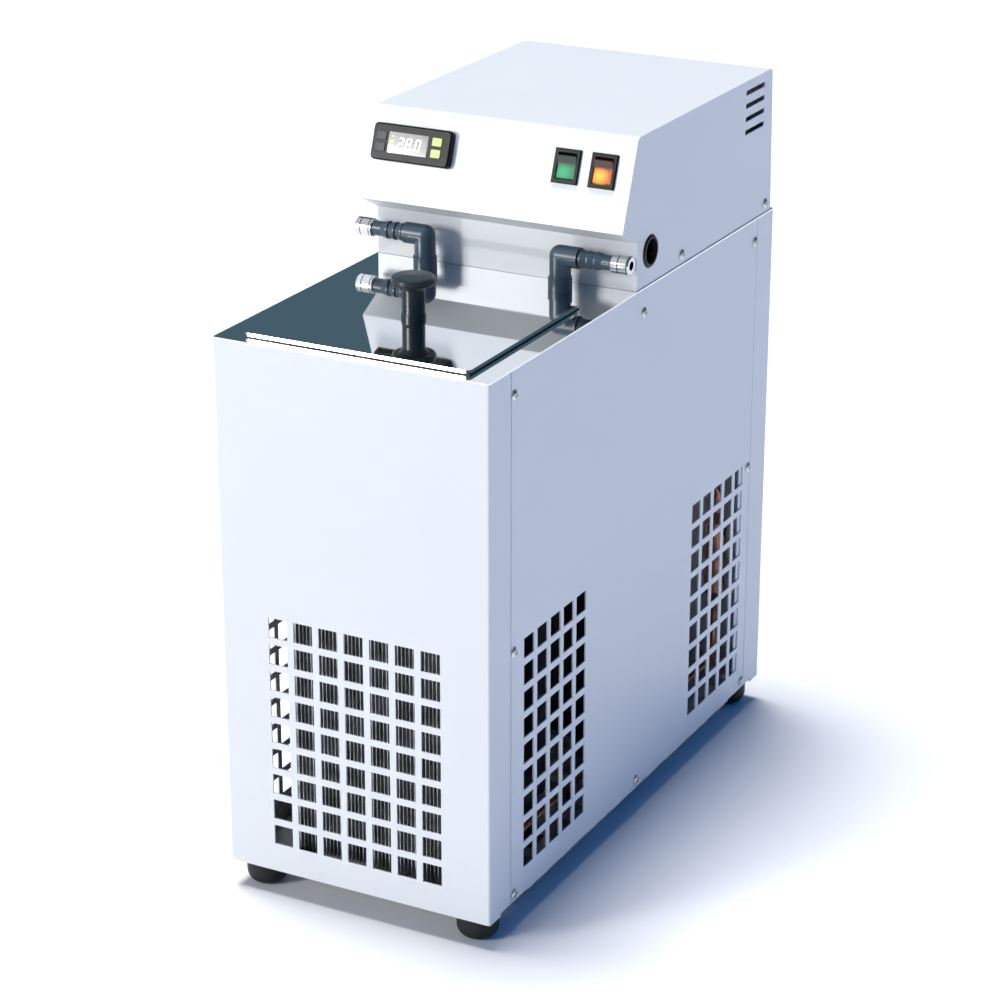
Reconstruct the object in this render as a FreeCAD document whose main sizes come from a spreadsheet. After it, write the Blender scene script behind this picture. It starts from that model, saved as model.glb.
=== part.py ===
import FreeCAD, Part
import math
import os
import re
import Sketcher

# Refrigerated water bath, in millimetres.
# Z is up, the front faces -Y, and X points to the right of someone who faces the front.
# The origin lies on the floor, under the middle of the cabinet.

# Driving dimensions
SIZES = {
    # cabinet
    "cabinet_width": 252.0,
    "cabinet_depth": 560.0,
    "cabinet_height": 473.0,
    "sheet_gauge": 1.2,
    "bend_radius": 2.0,
    "return_depth": 36.0,
    "flange_depth": 24.0,
    "seam_gap": 0.3,
    "lip_drop": 3.0,
    "lip_depth": 19.0,
    "pan_flange": 22.0,
    "pan_notch": 70.0,
    # grilles
    "hole_size": 18.0,
    "hole_pitch": 24.0,
    "grille_rows": 9,
    "front_columns": 7,
    "side_columns": 5,
    "grille_rise": 26.0,
    "front_grille_inset": 60.0,
    "rear_grille_inset": 54.0,
    # sheet-metal screws
    "screw_head_radius": 4.7,
    "screw_head_height": 2.2,
    "screw_radius": 2.0,
    "screw_length": 6.5,
    "screw_clearance": 0.25,
    "screw_inset": 42.0,
    "screw_low_rise": 10.0,
    "screw_mid_rise": 231.0,
    "screw_top_drop": 22.0,
    # feet
    "foot_height": 24.0,
    "foot_radius": 18.0,
    "foot_round": 12.0,
    "foot_inset_x": 23.0,
    "foot_inset_y": 22.0,
    "foot_screw_radius": 3.0,
    "foot_screw_depth": 10.0,
    # deck and its openings
    "deck_gauge": 1.2,
    "deck_corner": 3.0,
    "deck_flange": 32.0,
    "opening_margin": 36.0,
    "opening_length": 170.0,
    "opening_setback": 22.0,
    "opening_corner": 12.0,
    # bath tank
    "tank_overhang": 4.0,
    "tank_length": 328.0,
    "tank_gauge": 1.2,
    "tank_corner": 20.0,
    "tank_floor_round": 8.0,
    "tank_rim": 6.0,
    "foam_side_gap": 8.8,
    "foam_wall": 22.0,
    "foam_front": 12.0,
    "foam_floor": 28.0,
    "foam_rise": 56.4,
    # lid
    "lid_side_overlap": 13.0,
    "lid_front_overlap": 11.0,
    "lid_back_overlap": 10.0,
    "lid_height": 4.0,
    "lid_gauge": 1.2,
    "lid_corner": 4.0,
    "seal_height": 1.2,
    "seal_width": 11.0,
    # lid knob
    "knob_radius": 18.5,
    "knob_disc": 8.0,
    "knob_disc_round": 3.0,
    "knob_height": 37.0,
    "knob_neck_radius": 9.5,
    "knob_foot_radius": 10.3,
    "knob_foot_height": 3.0,
    "knob_foot_taper": 3.0,
    "knob_flare": 3.0,
    "knob_flare_height": 4.0,
    "knob_crown": 1.0,
    "knob_screw_radius": 2.5,
    "knob_screw_depth": 16.0,
    "knob_screw_head": 2.0,
    "knob_screw_head_height": 1.6,
    # head
    "head_inset": 1.0,
    "head_height": 133.0,
    "head_gauge": 1.2,
    "head_gap": 0.2,
    "neck_setback": 266.0,
    "neck_height": 42.0,
    "panel_overhang": 29.0,
    "panel_rise": 57.0,
    "panel_lean": 20.5,
    "head_back_inset": 11.0,
    "head_back_lean": 5.0,
    "head_front_round": 6.0,
    "head_back_round": 4.0,
    "head_side_round": 2.0,
    "slot_length": 42.0,
    "slot_width": 4.5,
    "slot_pitch": 12.0,
    "slot_count": 4,
    "slot_top_drop": 11.0,
    "slot_back_inset": 17.0,
    "grommet_radius": 14.5,
    "grommet_hole_radius": 12.5,
    "grommet_bore_radius": 11.0,
    "grommet_lip": 1.6,
    "grommet_setback": 26.0,
    "grommet_rise": 29.0,
    "rail_height": 18.0,
    "rail_foot": 12.0,
    "rail_gauge": 1.5,
    "rail_start": 42.0,
    "rail_end_gap": 3.0,
    "head_screw_rise": 8.5,
    "head_screw_front": 91.0,
    "head_screw_back": 5.0,
    # controls, placed on the leaning panel
    "control_rise": 50.0,
    "controller_inset": 44.0,
    "bezel_width": 76.0,
    "bezel_height": 32.0,
    "bezel_depth": 7.0,
    "bezel_corner": 4.0,
    "bezel_edge": 1.5,
    "case_side_step": 3.0,
    "case_top_step": 2.5,
    "case_depth": 58.0,
    "panel_clearance": 0.3,
    "window_height": 18.0,
    "window_recess": 1.4,
    "window_left_gap": 7.0,
    "window_right_gap": 9.0,
    "key_width": 9.0,
    "key_height": 7.0,
    "key_depth": 3.0,
    "key_proud": 0.8,
    "key_travel": 0.6,
    "key_clearance": 0.3,
    "key_round": 0.8,
    "key_left_inset": 9.0,
    "key_right_inset": 13.0,
    "key_step": 10.0,
    "switch_inset": 26.5,
    "switch_step": 34.0,
    "switch_width": 24.0,
    "switch_height": 29.5,
    "switch_rim": 2.2,
    "switch_rim_round": 0.8,
    "switch_body_width": 20.6,
    "switch_body_height": 26.0,
    "switch_body_depth": 20.0,
    "switch_wall": 1.6,
    "rocker_gap": 0.3,
    "rocker_radius": 11.0,
    "rocker_tip_angle": 32.0,
    "rocker_dip": 4.0,
    "rocker_pivot_depth": 3.5,
    "rocker_tail": 1.9,
    "rocker_tilt": 8.0,
    "rocker_pin_radius": 1.5,
    "pin_clearance": 0.05,
    # circulation nozzles
    "nozzle_gap": 23.5,
    "nozzle_x": 65.0,
    "nozzle_rise": 30.0,
    "pipe_bore": 8.0,
    "base_radius": 10.3,
    "base_height": 11.5,
    "base_thread_radius": 7.0,
    "base_thread_length": 24.0,
    "base_hole_clearance": 0.2,
    "base_nut_radius": 13.0,
    "base_nut_height": 7.0,
    "elbow_radius": 9.2,
    "elbow_reach": 18.5,
    "barb_radius": 7.8,
    "barb_root_radius": 6.6,
    "barb_pitch": 7.0,
    "barb_count": 3,
    "barb_lead": 1.5,
    "nozzle_neck_length": 8.0,
    "nozzle_neck_radius": 6.5,
    "tip_radius": 8.0,
    "tip_length": 17.0,
    "tip_chamfer": 1.0,
    # circulation pump
    "pump_setback": 38.0,
    "motor_radius": 29.0,
    "motor_height": 62.0,
    "motor_cap_round": 6.0,
    "shaft_radius": 3.0,
    "shaft_clearance": 0.05,
    "column_radius": 11.0,
    "column_bore": 9.5,
    "deck_pump_hole": 15.0,
    "housing_radius": 28.0,
    "housing_wall": 4.0,
    "housing_height": 24.0,
    "housing_floor_gap": 18.0,
    "inlet_radius": 10.0,
    "impeller_radius": 21.0,
    "impeller_blade": 2.0,
    "impeller_hub": 6.0,
    "impeller_height": 10.0,
    "impeller_gap": 2.0,
    "impeller_blades": 6,
    "delivery_radius": 6.0,
    "delivery_bore": 5.0,
    "delivery_bend": 14.0,
    # temperature probe
    "probe_x": 42.0,
    "probe_setback": 60.0,
    "probe_radius": 2.5,
    "probe_floor_gap": 42.0,
    "probe_stand": 16.0,
    "gland_radius": 7.0,
    "gland_height": 9.0,
    # cooling coil
    "coil_tube_radius": 4.75,
    "coil_wall_gap": 14.0,
    "coil_floor_gap": 16.0,
    "coil_pitch": 22.0,
    "coil_front_gap": 26.0,
    "coil_bend": 10.5,
    "coil_back_gap": 16.0,
    "coil_return_gap": 48.0,
    "coil_arch_rise": 30.0,
    "coil_arch_step": 14.0,
    "coil_drop_gap": 46.0,
    "coil_drop_step": 16.0,
    "coil_hole_clearance": 0.6,
    # condenser
    "condenser_left_gap": 62.0,
    "condenser_right_gap": 38.0,
    "condenser_depth": 38.0,
    "condenser_height": 220.0,
    "condenser_setback": 11.0,
    "condenser_rise": 20.0,
    "fin_pitch": 3.6,
    "fin_gap": 3.0,
    "fin_slot_depth": 12.0,
    "end_plate_margin": 2.0,
    "condenser_tube_radius": 4.0,
    "condenser_tube_pitch": 26.0,
    "condenser_tube_rows": 8,
    "condenser_bend": 11.0,
    "bend_run": 1.0,
    # condenser fan
    "baffle_setback": 137.0,
    "baffle_gap": 31.0,
    "baffle_low": 46.0,
    "baffle_height": 170.0,
    "baffle_flange": 28.0,
    "baffle_leg": 22.0,
    "baffle_opening": 72.0,
    "fan_radius": 68.0,
    "fan_hub_radius": 20.0,
    "fan_hub_length": 18.0,
    "fan_blades": 5,
    "fan_blade_gauge": 1.6,
    "fan_blade_root": 15.0,
    "fan_blade_tip": 25.0,
    "fan_root_angle": 40.0,
    "fan_tip_angle": 62.0,
    "fan_gap": 3.0,
    "fan_motor_radius": 30.0,
    "fan_motor_length": 55.0,
    "strap_width": 30.0,
    "strap_gauge": 2.0,
    # compressor
    "compressor_x": -15.0,
    "compressor_setback": 160.0,
    "compressor_radius": 62.0,
    "compressor_height": 165.0,
    "compressor_round": 26.0,
    "compressor_plate": 150.0,
    "compressor_plate_gauge": 3.0,
    "rubber_radius": 9.0,
    "rubber_height": 12.0,
    "rubber_inset": 15.0,
    # refrigerant lines
    "line_radius": 3.2,
    "line_bend": 10.0,
    "line_inset": 21.0,
    "discharge_gap": 38.0,
    "discharge_rise": 112.0,
    "discharge_over": 14.0,
    "drier_setback": 65.0,
    "drier_radius": 10.0,
    "drier_length": 90.0,
    "drier_rise": 100.0,
    "suction_over": 45.0,
    "tail_over": 26.0,
    # electrics
    "board_length": 100.0,
    "board_width": 130.0,
    "board_gauge": 1.6,
    "board_setback": 74.0,
    "board_x": -20.0,
    "standoff_height": 12.0,
    "standoff_radius": 3.0,
    "standoff_inset": 6.0,
    "transformer_size": 38.0,
    "transformer_height": 30.0,
    "relay_size": 22.0,
    "relay_x": 14.0,
    "recess_width": 84.0,
    "recess_height": 50.0,
    "recess_depth": 18.0,
    "cord_inset": 46.0,
    "cord_rise": 60.0,
    "cord_gland_radius": 12.0,
    "cord_gland_length": 16.0,
    "cord_thread_radius": 8.0,
    "cord_thread_length": 14.0,
    "cord_bore_radius": 4.2,
    "fuse_step": 38.0,
    "fuse_cap_radius": 9.0,
    "fuse_cap_length": 9.0,
    "fuse_body_radius": 6.5,
    "fuse_body_length": 34.0,
}

# Places worked out from the driving dimensions
PLACES = {
    "half_width": "cabinet_width / 2",
    "half_depth": "cabinet_depth / 2",
    "deck_top": "foot_height + cabinet_height",
    "deck_under": "deck_top - deck_gauge",
    "wall_inside": "half_width - sheet_gauge",
    "flange_inside": "half_width - 2 * sheet_gauge",
    "face_inside": "half_depth - sheet_gauge",
    "side_panel_end": "half_depth - return_depth - sheet_gauge - seam_gap",
    "flange_end": "half_depth - return_depth - flange_depth",
    "pan_top": "foot_height + sheet_gauge",
    "grille_floor": "foot_height + grille_rise",
    "front_grille_x": "-((front_columns - 1) * hole_pitch + hole_size) / 2",
    "front_grille_y": "-half_depth + front_grille_inset",
    "rear_grille_y": "half_depth - rear_grille_inset - (side_columns - 1) * hole_pitch - hole_size",
    "screw_y": "half_depth - screw_inset",
    "screw_low": "foot_height + screw_low_rise",
    "screw_mid": "foot_height + screw_mid_rise",
    "screw_high": "deck_top - screw_top_drop",
    "screw_hole_radius": "screw_radius + screw_clearance",
    "foot_x": "half_width - foot_inset_x",
    "foot_y": "half_depth - foot_inset_y",
    "opening_half": "half_width - opening_margin",
    "opening_front": "-half_depth + opening_setback",
    "opening_back": "opening_front + opening_length",
    "tank_half": "opening_half + tank_overhang",
    "tank_front": "opening_front - tank_overhang",
    "tank_back": "tank_front + tank_length",

    "lid_half": "opening_half + lid_side_overlap",
    "lid_front": "opening_front - lid_front_overlap",
    "lid_back": "opening_back + lid_back_overlap",
    "lid_middle": "(lid_front + lid_back) / 2",
    "lid_top": "deck_top + lid_height",
    "lid_inside": "lid_half - lid_gauge",
    "neck_y": "-half_depth + neck_setback",
    "neck_top": "deck_top + neck_height",
    "panel_foot_y": "neck_y - panel_overhang",
    "panel_foot_z": "deck_top + panel_rise",
    "head_top": "deck_top + head_height",
    "head_bottom": "deck_top + head_gap",
    "panel_top_y": "panel_foot_y + (head_top - panel_foot_z) * tan(panel_lean)",
    "head_back": "half_depth - head_back_inset",
    "head_half": "half_width - head_inset",
    "head_inside": "head_half - head_gauge",
    "rail_front": "neck_y + rail_start",
    "rail_back": "head_back - rail_end_gap",
    "head_screw_z": "deck_top + head_screw_rise",
    "controller_x": "-head_half + controller_inset",
    "case_width": "bezel_width - 2 * case_side_step",
    "case_height": "bezel_height - 2 * case_top_step",
    "key_left_x": "-bezel_width / 2 + key_left_inset",
    "key_right_x": "bezel_width / 2 - key_right_inset",
    "window_left": "key_left_x + window_left_gap",
    "window_right": "key_right_x - window_right_gap",
    "switch_right_x": "head_half - switch_inset",
    "switch_left_x": "switch_right_x - switch_step",
    "nozzle_y": "neck_y - nozzle_gap",
    "nozzle_axis": "deck_top + nozzle_rise",
    "elbow_end": "nozzle_x + elbow_reach",
    "barb_length": "barb_lead + barb_count * barb_pitch",
    "nozzle_length": "barb_length + nozzle_neck_length",
    "nozzle_tip_start": "elbow_end + nozzle_length",
    "condenser_low": "pan_top + condenser_rise",
    "condenser_top": "condenser_low + condenser_height",
    "foam_low": "condenser_top + foam_rise",
    "foam_half": "half_width - foam_side_gap",
    "tank_floor": "foam_low + foam_floor + tank_gauge",
    "pump_y": "tank_back - pump_setback",
    "probe_y": "tank_back - probe_setback",
    "probe_low": "tank_floor + probe_floor_gap",
    "housing_low": "tank_floor + housing_floor_gap",
    "housing_top": "housing_low + housing_height",
    "delivery_z": "housing_low + housing_height / 2",
    "coil_x": "tank_half - coil_wall_gap",
    "coil_low": "tank_floor + coil_floor_gap",
    "coil_front": "tank_front + coil_front_gap",
    "coil_arch": "deck_top + coil_arch_rise",
    "coil_back_y": "tank_back - coil_back_gap",
    "coil_return_y": "tank_back - coil_return_gap",
    "coil_drop_y": "tank_back + coil_drop_gap",
    "condenser_front": "-half_depth + condenser_setback",
    "condenser_back": "condenser_front + condenser_depth",
    "condenser_left": "-half_width + condenser_left_gap",
    "condenser_right": "half_width - condenser_right_gap",
    "condenser_width": "condenser_right - condenser_left",
    "condenser_x": "(condenser_left + condenser_right) / 2",
    "condenser_tube_y": "condenser_front + condenser_depth / 2",
    "condenser_tube_low": "condenser_low + (condenser_height - (condenser_tube_rows - 1) * condenser_tube_pitch) / 2",
    "baffle_y": "-half_depth + baffle_setback",
    "baffle_floor": "foot_height + baffle_low",
    "baffle_half": "half_width - baffle_gap",
    "fan_z": "baffle_floor + baffle_height / 2",
    "fan_y": "baffle_y + fan_gap",
    "strap_y": "baffle_y + baffle_flange",
    "compressor_low": "pan_top + rubber_height",
    "compressor_top": "compressor_low + compressor_plate_gauge + compressor_height",
    "compressor_y": "half_depth - compressor_setback",
    "compressor_front": "compressor_y - compressor_radius",
    "line_x": "half_width - line_inset",
    "discharge_y": "compressor_front - discharge_gap",
    "drier_y": "half_depth - drier_setback",
    "drier_low": "pan_top + drier_rise",
    "coil_tail": "drier_low + drier_length + tail_over",
    "board_y": "head_back - board_setback",
    "board_low": "deck_top + standoff_height",
    "cord_z": "foot_height + cord_rise",
    "cord_x": "-half_width + cord_inset",
    "fuse_x": "cord_x + fuse_step",
    "recess_x": "(cord_x + fuse_x) / 2",
    "recess_floor": "half_depth - recess_depth",
}

V = FreeCAD.Vector
NO_TURN = FreeCAD.Rotation()
TURNS = {
    "+Z": NO_TURN,
    "+X": FreeCAD.Rotation(V(0, 1, 0), 90),
    "-X": FreeCAD.Rotation(V(0, 1, 0), -90),
    "+Y": FreeCAD.Rotation(V(1, 0, 0), -90),
    "-Y": FreeCAD.Rotation(V(1, 0, 0), 90),
}
WORD = re.compile(r"[a-z][a-z_0-9]*")
HEAD_SCREW_COLUMNS = ("neck_y + head_screw_front", "rail_back - head_screw_back")

doc = FreeCAD.newDocument("RefrigeratedWaterBath")
sizes = doc.addObject("Spreadsheet::Sheet", "Sizes")
places = doc.addObject("Spreadsheet::Sheet", "Places")
nodes = []


# Sheets and expressions
def bound(text):
    """The expression with each size and place named as its sheet's cell."""
    def cell(match):
        word = match.group()
        if word in SIZES:
            return "Sizes." + word
        if word in PLACES:
            return "Places." + word
        return word
    return WORD.sub(cell, text)


def fill_sheets():
    for row, (alias, value) in enumerate(SIZES.items(), 1):
        sizes.set(f"A{row}", alias)
        sizes.set(f"B{row}", str(value))
        sizes.setAlias(f"B{row}", alias)
    doc.recompute()
    for row, (alias, text) in enumerate(PLACES.items(), 1):
        places.set(f"A{row}", alias)
        places.set(f"B{row}", "=" + bound(text))
        places.setAlias(f"B{row}", alias)
    doc.recompute()


def number(text):
    return float(places.evalExpression(bound(text)))


def point(spot):
    return V(*[number(text) for text in spot])


def bind(thing, name, text):
    thing.setExpression(name, bound(text))


def place(thing, spot, turn="+Z"):
    thing.Placement = FreeCAD.Placement(V(), TURNS[turn])
    for axis, text in zip("xyz", spot):
        bind(thing, "Placement.Base." + axis, text)
    return thing


def place_on_panel(thing, across, up, out, tilt="0"):
    """Local X runs along the leaning panel, Y up its slope and Z out of its face."""
    lean = f"90 - panel_lean + ({tilt})"
    thing.Placement = FreeCAD.Placement(V(), FreeCAD.Rotation(V(1, 0, 0), number(lean)))
    bind(thing, "Placement.Base.x", across)
    bind(thing, "Placement.Base.y", f"panel_foot_y + ({up}) * sin(panel_lean) - ({out}) * cos(panel_lean)")
    bind(thing, "Placement.Base.z", f"panel_foot_z + ({up}) * cos(panel_lean) + ({out}) * sin(panel_lean)")
    bind(thing, "Placement.Rotation.Angle", lean)
    return thing


def node(thing, label):
    thing.Label = label
    nodes.append(thing)
    return thing


# Part primitives and booleans
def box(name, x, y, z):
    """A block between pairs of expressions along X, Y and Z."""
    block = doc.addObject("Part::Box", name)
    for side, (low, high) in zip(("Length", "Width", "Height"), (x, y, z)):
        bind(block, side, f"({high}) - ({low})")
    return place(block, (x[0], y[0], z[0]))


def panel_box(name, across, up, out):
    """A block between pairs of expressions in the leaning panel's own directions."""
    block = doc.addObject("Part::Box", name)
    for side, (low, high) in zip(("Length", "Width", "Height"), (across, up, out)):
        bind(block, side, f"({high}) - ({low})")
    return place_on_panel(block, across[0], up[0], out[0])


def rod(name, radius, length, start, turn="+Z"):
    cylinder = doc.addObject("Part::Cylinder", name)
    bind(cylinder, "Radius", radius)
    bind(cylinder, "Height", length)
    return place(cylinder, start, turn)


def bundle(name, parts):
    group = doc.addObject("Part::Compound", name)
    group.Links = parts
    return group


def cut(name, base, *tools):
    result = doc.addObject("Part::Cut", name)
    result.Base = base
    result.Tool = tools[0] if len(tools) == 1 else bundle(name + "Tools", list(tools))
    return result


def fuse(name, *parts):
    result = doc.addObject("Part::MultiFuse", name)
    result.Shapes = list(parts)
    result.Refine = True
    return result


def common(name, first, second):
    result = doc.addObject("Part::Common", name)
    result.Base = first
    result.Tool = second
    return result


def copies(name, source, moves):
    """Like pieces in one group: the source's shape at each of the given placements."""
    doc.recompute()
    group = doc.addObject("Part::Feature", name)
    shapes = []
    for move in moves:
        shape = source.Shape.copy()
        shape.Placement = move.multiply(shape.Placement)
        shapes.append(shape)
    group.Shape = Part.makeCompound(shapes)
    return group


def bent_path(spots, bend):
    """Straight runs through the spots, joined by tangent arcs."""
    corners = [point(spot) for spot in spots]
    radius = number(bend)
    edges = []
    start = corners[0]
    for before, corner, after in zip(corners, corners[1:], corners[2:]):
        inward = (corner - before).normalize()
        outward = (after - corner).normalize()
        half_turn = inward.getAngle(outward) / 2
        reach = radius * math.tan(half_turn)
        first = corner - inward * reach
        last = corner + outward * reach
        bisector = (outward - inward).normalize()
        middle = corner + bisector * (radius / math.cos(half_turn) - radius)
        edges.append(Part.LineSegment(start, first).toShape())
        edges.append(Part.Arc(first, middle, last).toShape())
        start = last
    edges.append(Part.LineSegment(start, corners[-1]).toShape())
    return Part.Wire(edges)


def bent_rod(spots, bend, radius):
    path = bent_path(spots, bend)
    start = point(spots[0])
    ring = Part.makeCircle(number(radius), start, point(spots[1]) - start)
    return path.makePipeShell([Part.Wire([ring])], True, True)


def tube(name, spots, bend, radius, bore=None):
    pipe = doc.addObject("Part::Feature", name)
    shape = bent_rod(spots, bend, radius)
    pipe.Shape = shape.cut(bent_rod(spots, bend, bore)) if bore else shape
    return pipe


# Part design bodies
def new_body(label):
    return doc.addObject("PartDesign::Body", label)


def new_sketch(body, name, role, offset=None):
    sketch = body.newObject("Sketcher::SketchObject", name)
    plane = next(item for item in body.Origin.OriginFeatures if item.Role == role)
    sketch.AttachmentSupport = [(plane, "")]
    sketch.MapMode = "FlatFace"
    if offset:
        bind(sketch, "AttachmentOffset.Base.z", offset)
    return sketch


def hold(sketch, constraint, text):
    index = sketch.addConstraint(constraint)
    name = f"held{index}"
    sketch.renameConstraint(index, name)
    bind(sketch, "Constraints." + name, text)


def polygon(sketch, corners):
    first = sketch.GeometryCount
    count = len(corners)
    spots = [V(number(u), number(v), 0) for u, v in corners]
    for k, spot in enumerate(spots):
        sketch.addGeometry(Part.LineSegment(spot, spots[(k + 1) % count]))
    for k in range(count):
        sketch.addConstraint(Sketcher.Constraint("Coincident", first + k, 2, first + (k + 1) % count, 1))
    for k, (u, v) in enumerate(corners):
        hold(sketch, Sketcher.Constraint("DistanceX", -1, 1, first + k, 1, spots[k].x), u)
        hold(sketch, Sketcher.Constraint("DistanceY", -1, 1, first + k, 1, spots[k].y), v)


def rectangle(sketch, u, v):
    polygon(sketch, [(u[0], v[0]), (u[1], v[0]), (u[1], v[1]), (u[0], v[1])])


def circle(sketch, u, v, radius):
    index = sketch.addGeometry(Part.Circle(V(number(u), number(v), 0), V(0, 0, 1), number(radius)))
    hold(sketch, Sketcher.Constraint("DistanceX", -1, 1, index, 3, number(u)), u)
    hold(sketch, Sketcher.Constraint("DistanceY", -1, 1, index, 3, number(v)), v)
    hold(sketch, Sketcher.Constraint("Radius", index, number(radius)), radius)


def pad(body, sketch, length, both_ways=False, backwards=False):
    feature = body.newObject("PartDesign::Pad", "Pad")
    feature.Profile = sketch
    feature.SideType = "Symmetric" if both_ways else "One side"
    feature.Reversed = backwards
    bind(feature, "Length", length)
    return feature


def pocket(body, sketch, length=None, backwards=False):
    """A pocket of a given depth, or one that cuts through everything both ways."""
    feature = body.newObject("PartDesign::Pocket", "Pocket")
    feature.Profile = sketch
    feature.Reversed = backwards
    if length:
        bind(feature, "Length", length)
    else:
        feature.SideType = "Symmetric"
        feature.Type = "ThroughAll"
    return feature


def grid(body, feature, sketch, steps):
    """Copies of a feature along the sketch's own axes: (axis, spacing, count) for each."""
    pattern = body.newObject("PartDesign::LinearPattern", "Grid")
    pattern.Originals = [feature]
    for suffix, (axis, spacing, count) in zip(("", "2"), steps):
        setattr(pattern, "Direction" + suffix, (sketch, [axis]))
        setattr(pattern, "Mode" + suffix, "Spacing")
        bind(pattern, "Offset" + suffix, spacing)
        bind(pattern, "Occurrences" + suffix, count)
    body.Tip = pattern
    return pattern


def ring_of(body, feature, sketch, count):
    pattern = body.newObject("PartDesign::PolarPattern", "Ring")
    pattern.Originals = [feature]
    pattern.Axis = (sketch, ["N_Axis"])
    pattern.Angle = 360
    bind(pattern, "Occurrences", count)
    body.Tip = pattern
    return pattern


def revolve(body, sketch):
    feature = body.newObject("PartDesign::Revolution", "Revolution")
    feature.Profile = sketch
    feature.ReferenceAxis = (sketch, ["V_Axis"])
    feature.Angle = 360
    return feature


def chosen_edges(feature, wanted):
    return [f"Edge{k}" for k, edge in enumerate(feature.Shape.Edges, 1) if wanted(edge)]


def fillet(body, radius, wanted):
    doc.recompute()
    base = body.Tip
    feature = body.newObject("PartDesign::Fillet", "Fillet")
    feature.Base = (base, chosen_edges(base, wanted))
    bind(feature, "Radius", radius)
    return feature


def near(value, text):
    return abs(value - number(text)) < 0.01


def is_upright(edge):
    ends = edge.Vertexes
    return len(ends) == 2 and abs(ends[0].X - ends[1].X) + abs(ends[0].Y - ends[1].Y) < 0.001


def turned_body(label, profile):
    """A solid of revolution about Z from corners given as radius and height."""
    body = new_body(label)
    sketch = new_sketch(body, label + "Profile", "XZ_Plane")
    polygon(sketch, profile)
    revolve(body, sketch)
    return body


# Cabinet
def wrap_section(way):
    """Half of a folded panel's section: face, return, joggle and the flange behind the side panel."""
    def spot(x, inset):
        return x, f"{way} * (half_depth - ({inset}))"
    return [
        spot("half_width", "0"),
        spot("half_width", "return_depth"),
        spot("wall_inside", "return_depth + sheet_gauge"),
        spot("wall_inside", "return_depth + flange_depth"),
        spot("flange_inside", "return_depth + flange_depth"),
        spot("flange_inside", "return_depth + sheet_gauge * (1 - tan(22.5))"),
        spot("wall_inside", "return_depth - sheet_gauge * tan(22.5)"),
        spot("wall_inside", "sheet_gauge"),
    ]


def folded_panel(label, way):
    half = wrap_section(way)
    other = [("-(" + x + ")", y) for x, y in reversed(half)]
    body = new_body(label)
    section = new_sketch(body, label + "Section", "XY_Plane", "foot_height")
    polygon(section, half + other)
    pad(body, section, "deck_under - foot_height")
    face = f"{way} * half_depth"
    fillet(body, "bend_radius", lambda edge: is_upright(edge) and near(edge.Vertexes[0].Y, face))
    inner = f"{way} * face_inside"
    fillet(body, "bend_radius - sheet_gauge",
           lambda edge: is_upright(edge) and near(edge.Vertexes[0].Y, inner))
    lip = new_sketch(body, label + "Lip", "YZ_Plane")
    ends = [f"{way} * (half_depth - lip_depth)", f"{way} * (flange_end - 1)"]
    if way > 0:
        ends.reverse()
    rectangle(lip, ends, ("foot_height - 1", "foot_height + lip_drop"))
    pocket(body, lip)
    holes = new_sketch(body, label + "ScrewHoles", "YZ_Plane")
    for row in ("screw_low", "screw_mid", "screw_high"):
        circle(holes, f"{way} * screw_y", row, "screw_radius")
    pocket(body, holes)
    return body


def grille(body, name, role, corner, columns):
    """A field of square holes: one hole, then its copies along both directions."""
    sketch = new_sketch(body, name, role)
    u, v = corner
    rectangle(sketch, (u, f"{u} + hole_size"), (v, f"{v} + hole_size"))
    hole = pocket(body, sketch)
    grid(body, hole, sketch, (("H_Axis", "hole_pitch", columns), ("V_Axis", "hole_pitch", "grille_rows")))


def front_panel():
    body = folded_panel("front_panel", -1)
    grille(body, "FrontGrille", "XZ_Plane", ("front_grille_x", "grille_floor"), "front_columns")
    node(body, "front_panel")


def rear_panel():
    body = folded_panel("rear_panel", 1)
    well = new_sketch(body, "RecessWalls", "XZ_Plane", "-face_inside")
    across = ("recess_x - recess_width / 2", "recess_x + recess_width / 2")
    up = ("cord_z - recess_height / 2", "cord_z + recess_height / 2")
    rectangle(well, (f"{across[0]} - sheet_gauge", f"{across[1]} + sheet_gauge"),
              (f"{up[0]} - sheet_gauge", f"{up[1]} + sheet_gauge"))
    pad(body, well, "recess_depth")
    hollow = new_sketch(body, "RecessHollow", "XZ_Plane", "-half_depth")
    rectangle(hollow, across, up)
    pocket(body, hollow, "recess_depth", backwards=True)
    holes = new_sketch(body, "RearOpenings", "XZ_Plane")
    circle(holes, "cord_x", "cord_z", "cord_thread_radius")
    circle(holes, "fuse_x", "cord_z", "fuse_body_radius")
    pocket(body, holes)
    node(body, "rear_panel")


def side_panel(label, side):
    body = new_body(label)
    start = "wall_inside" if side > 0 else "-half_width"
    outline = new_sketch(body, label + "Outline", "YZ_Plane", start)
    rectangle(outline, ("-side_panel_end", "side_panel_end"), ("foot_height + lip_drop", "deck_under"))
    pad(body, outline, "sheet_gauge")
    holes = new_sketch(body, label + "ScrewHoles", "YZ_Plane")
    for column, row in side_screw_spots():
        circle(holes, column, row, "screw_hole_radius")
    pocket(body, holes)
    grille(body, label + "FrontGrille", "YZ_Plane", ("front_grille_y", "grille_floor"), "side_columns")
    grille(body, label + "RearGrille", "YZ_Plane", ("rear_grille_y", "grille_floor"), "side_columns")
    node(body, label)


def side_screw_spots():
    """Column and row of each screw in a side panel."""
    corners = [(column, row) for column in ("-screw_y", "screw_y")
               for row in ("screw_low", "screw_mid", "screw_high")]
    return corners + [("0", "screw_low"), ("0", "screw_high")]


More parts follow.
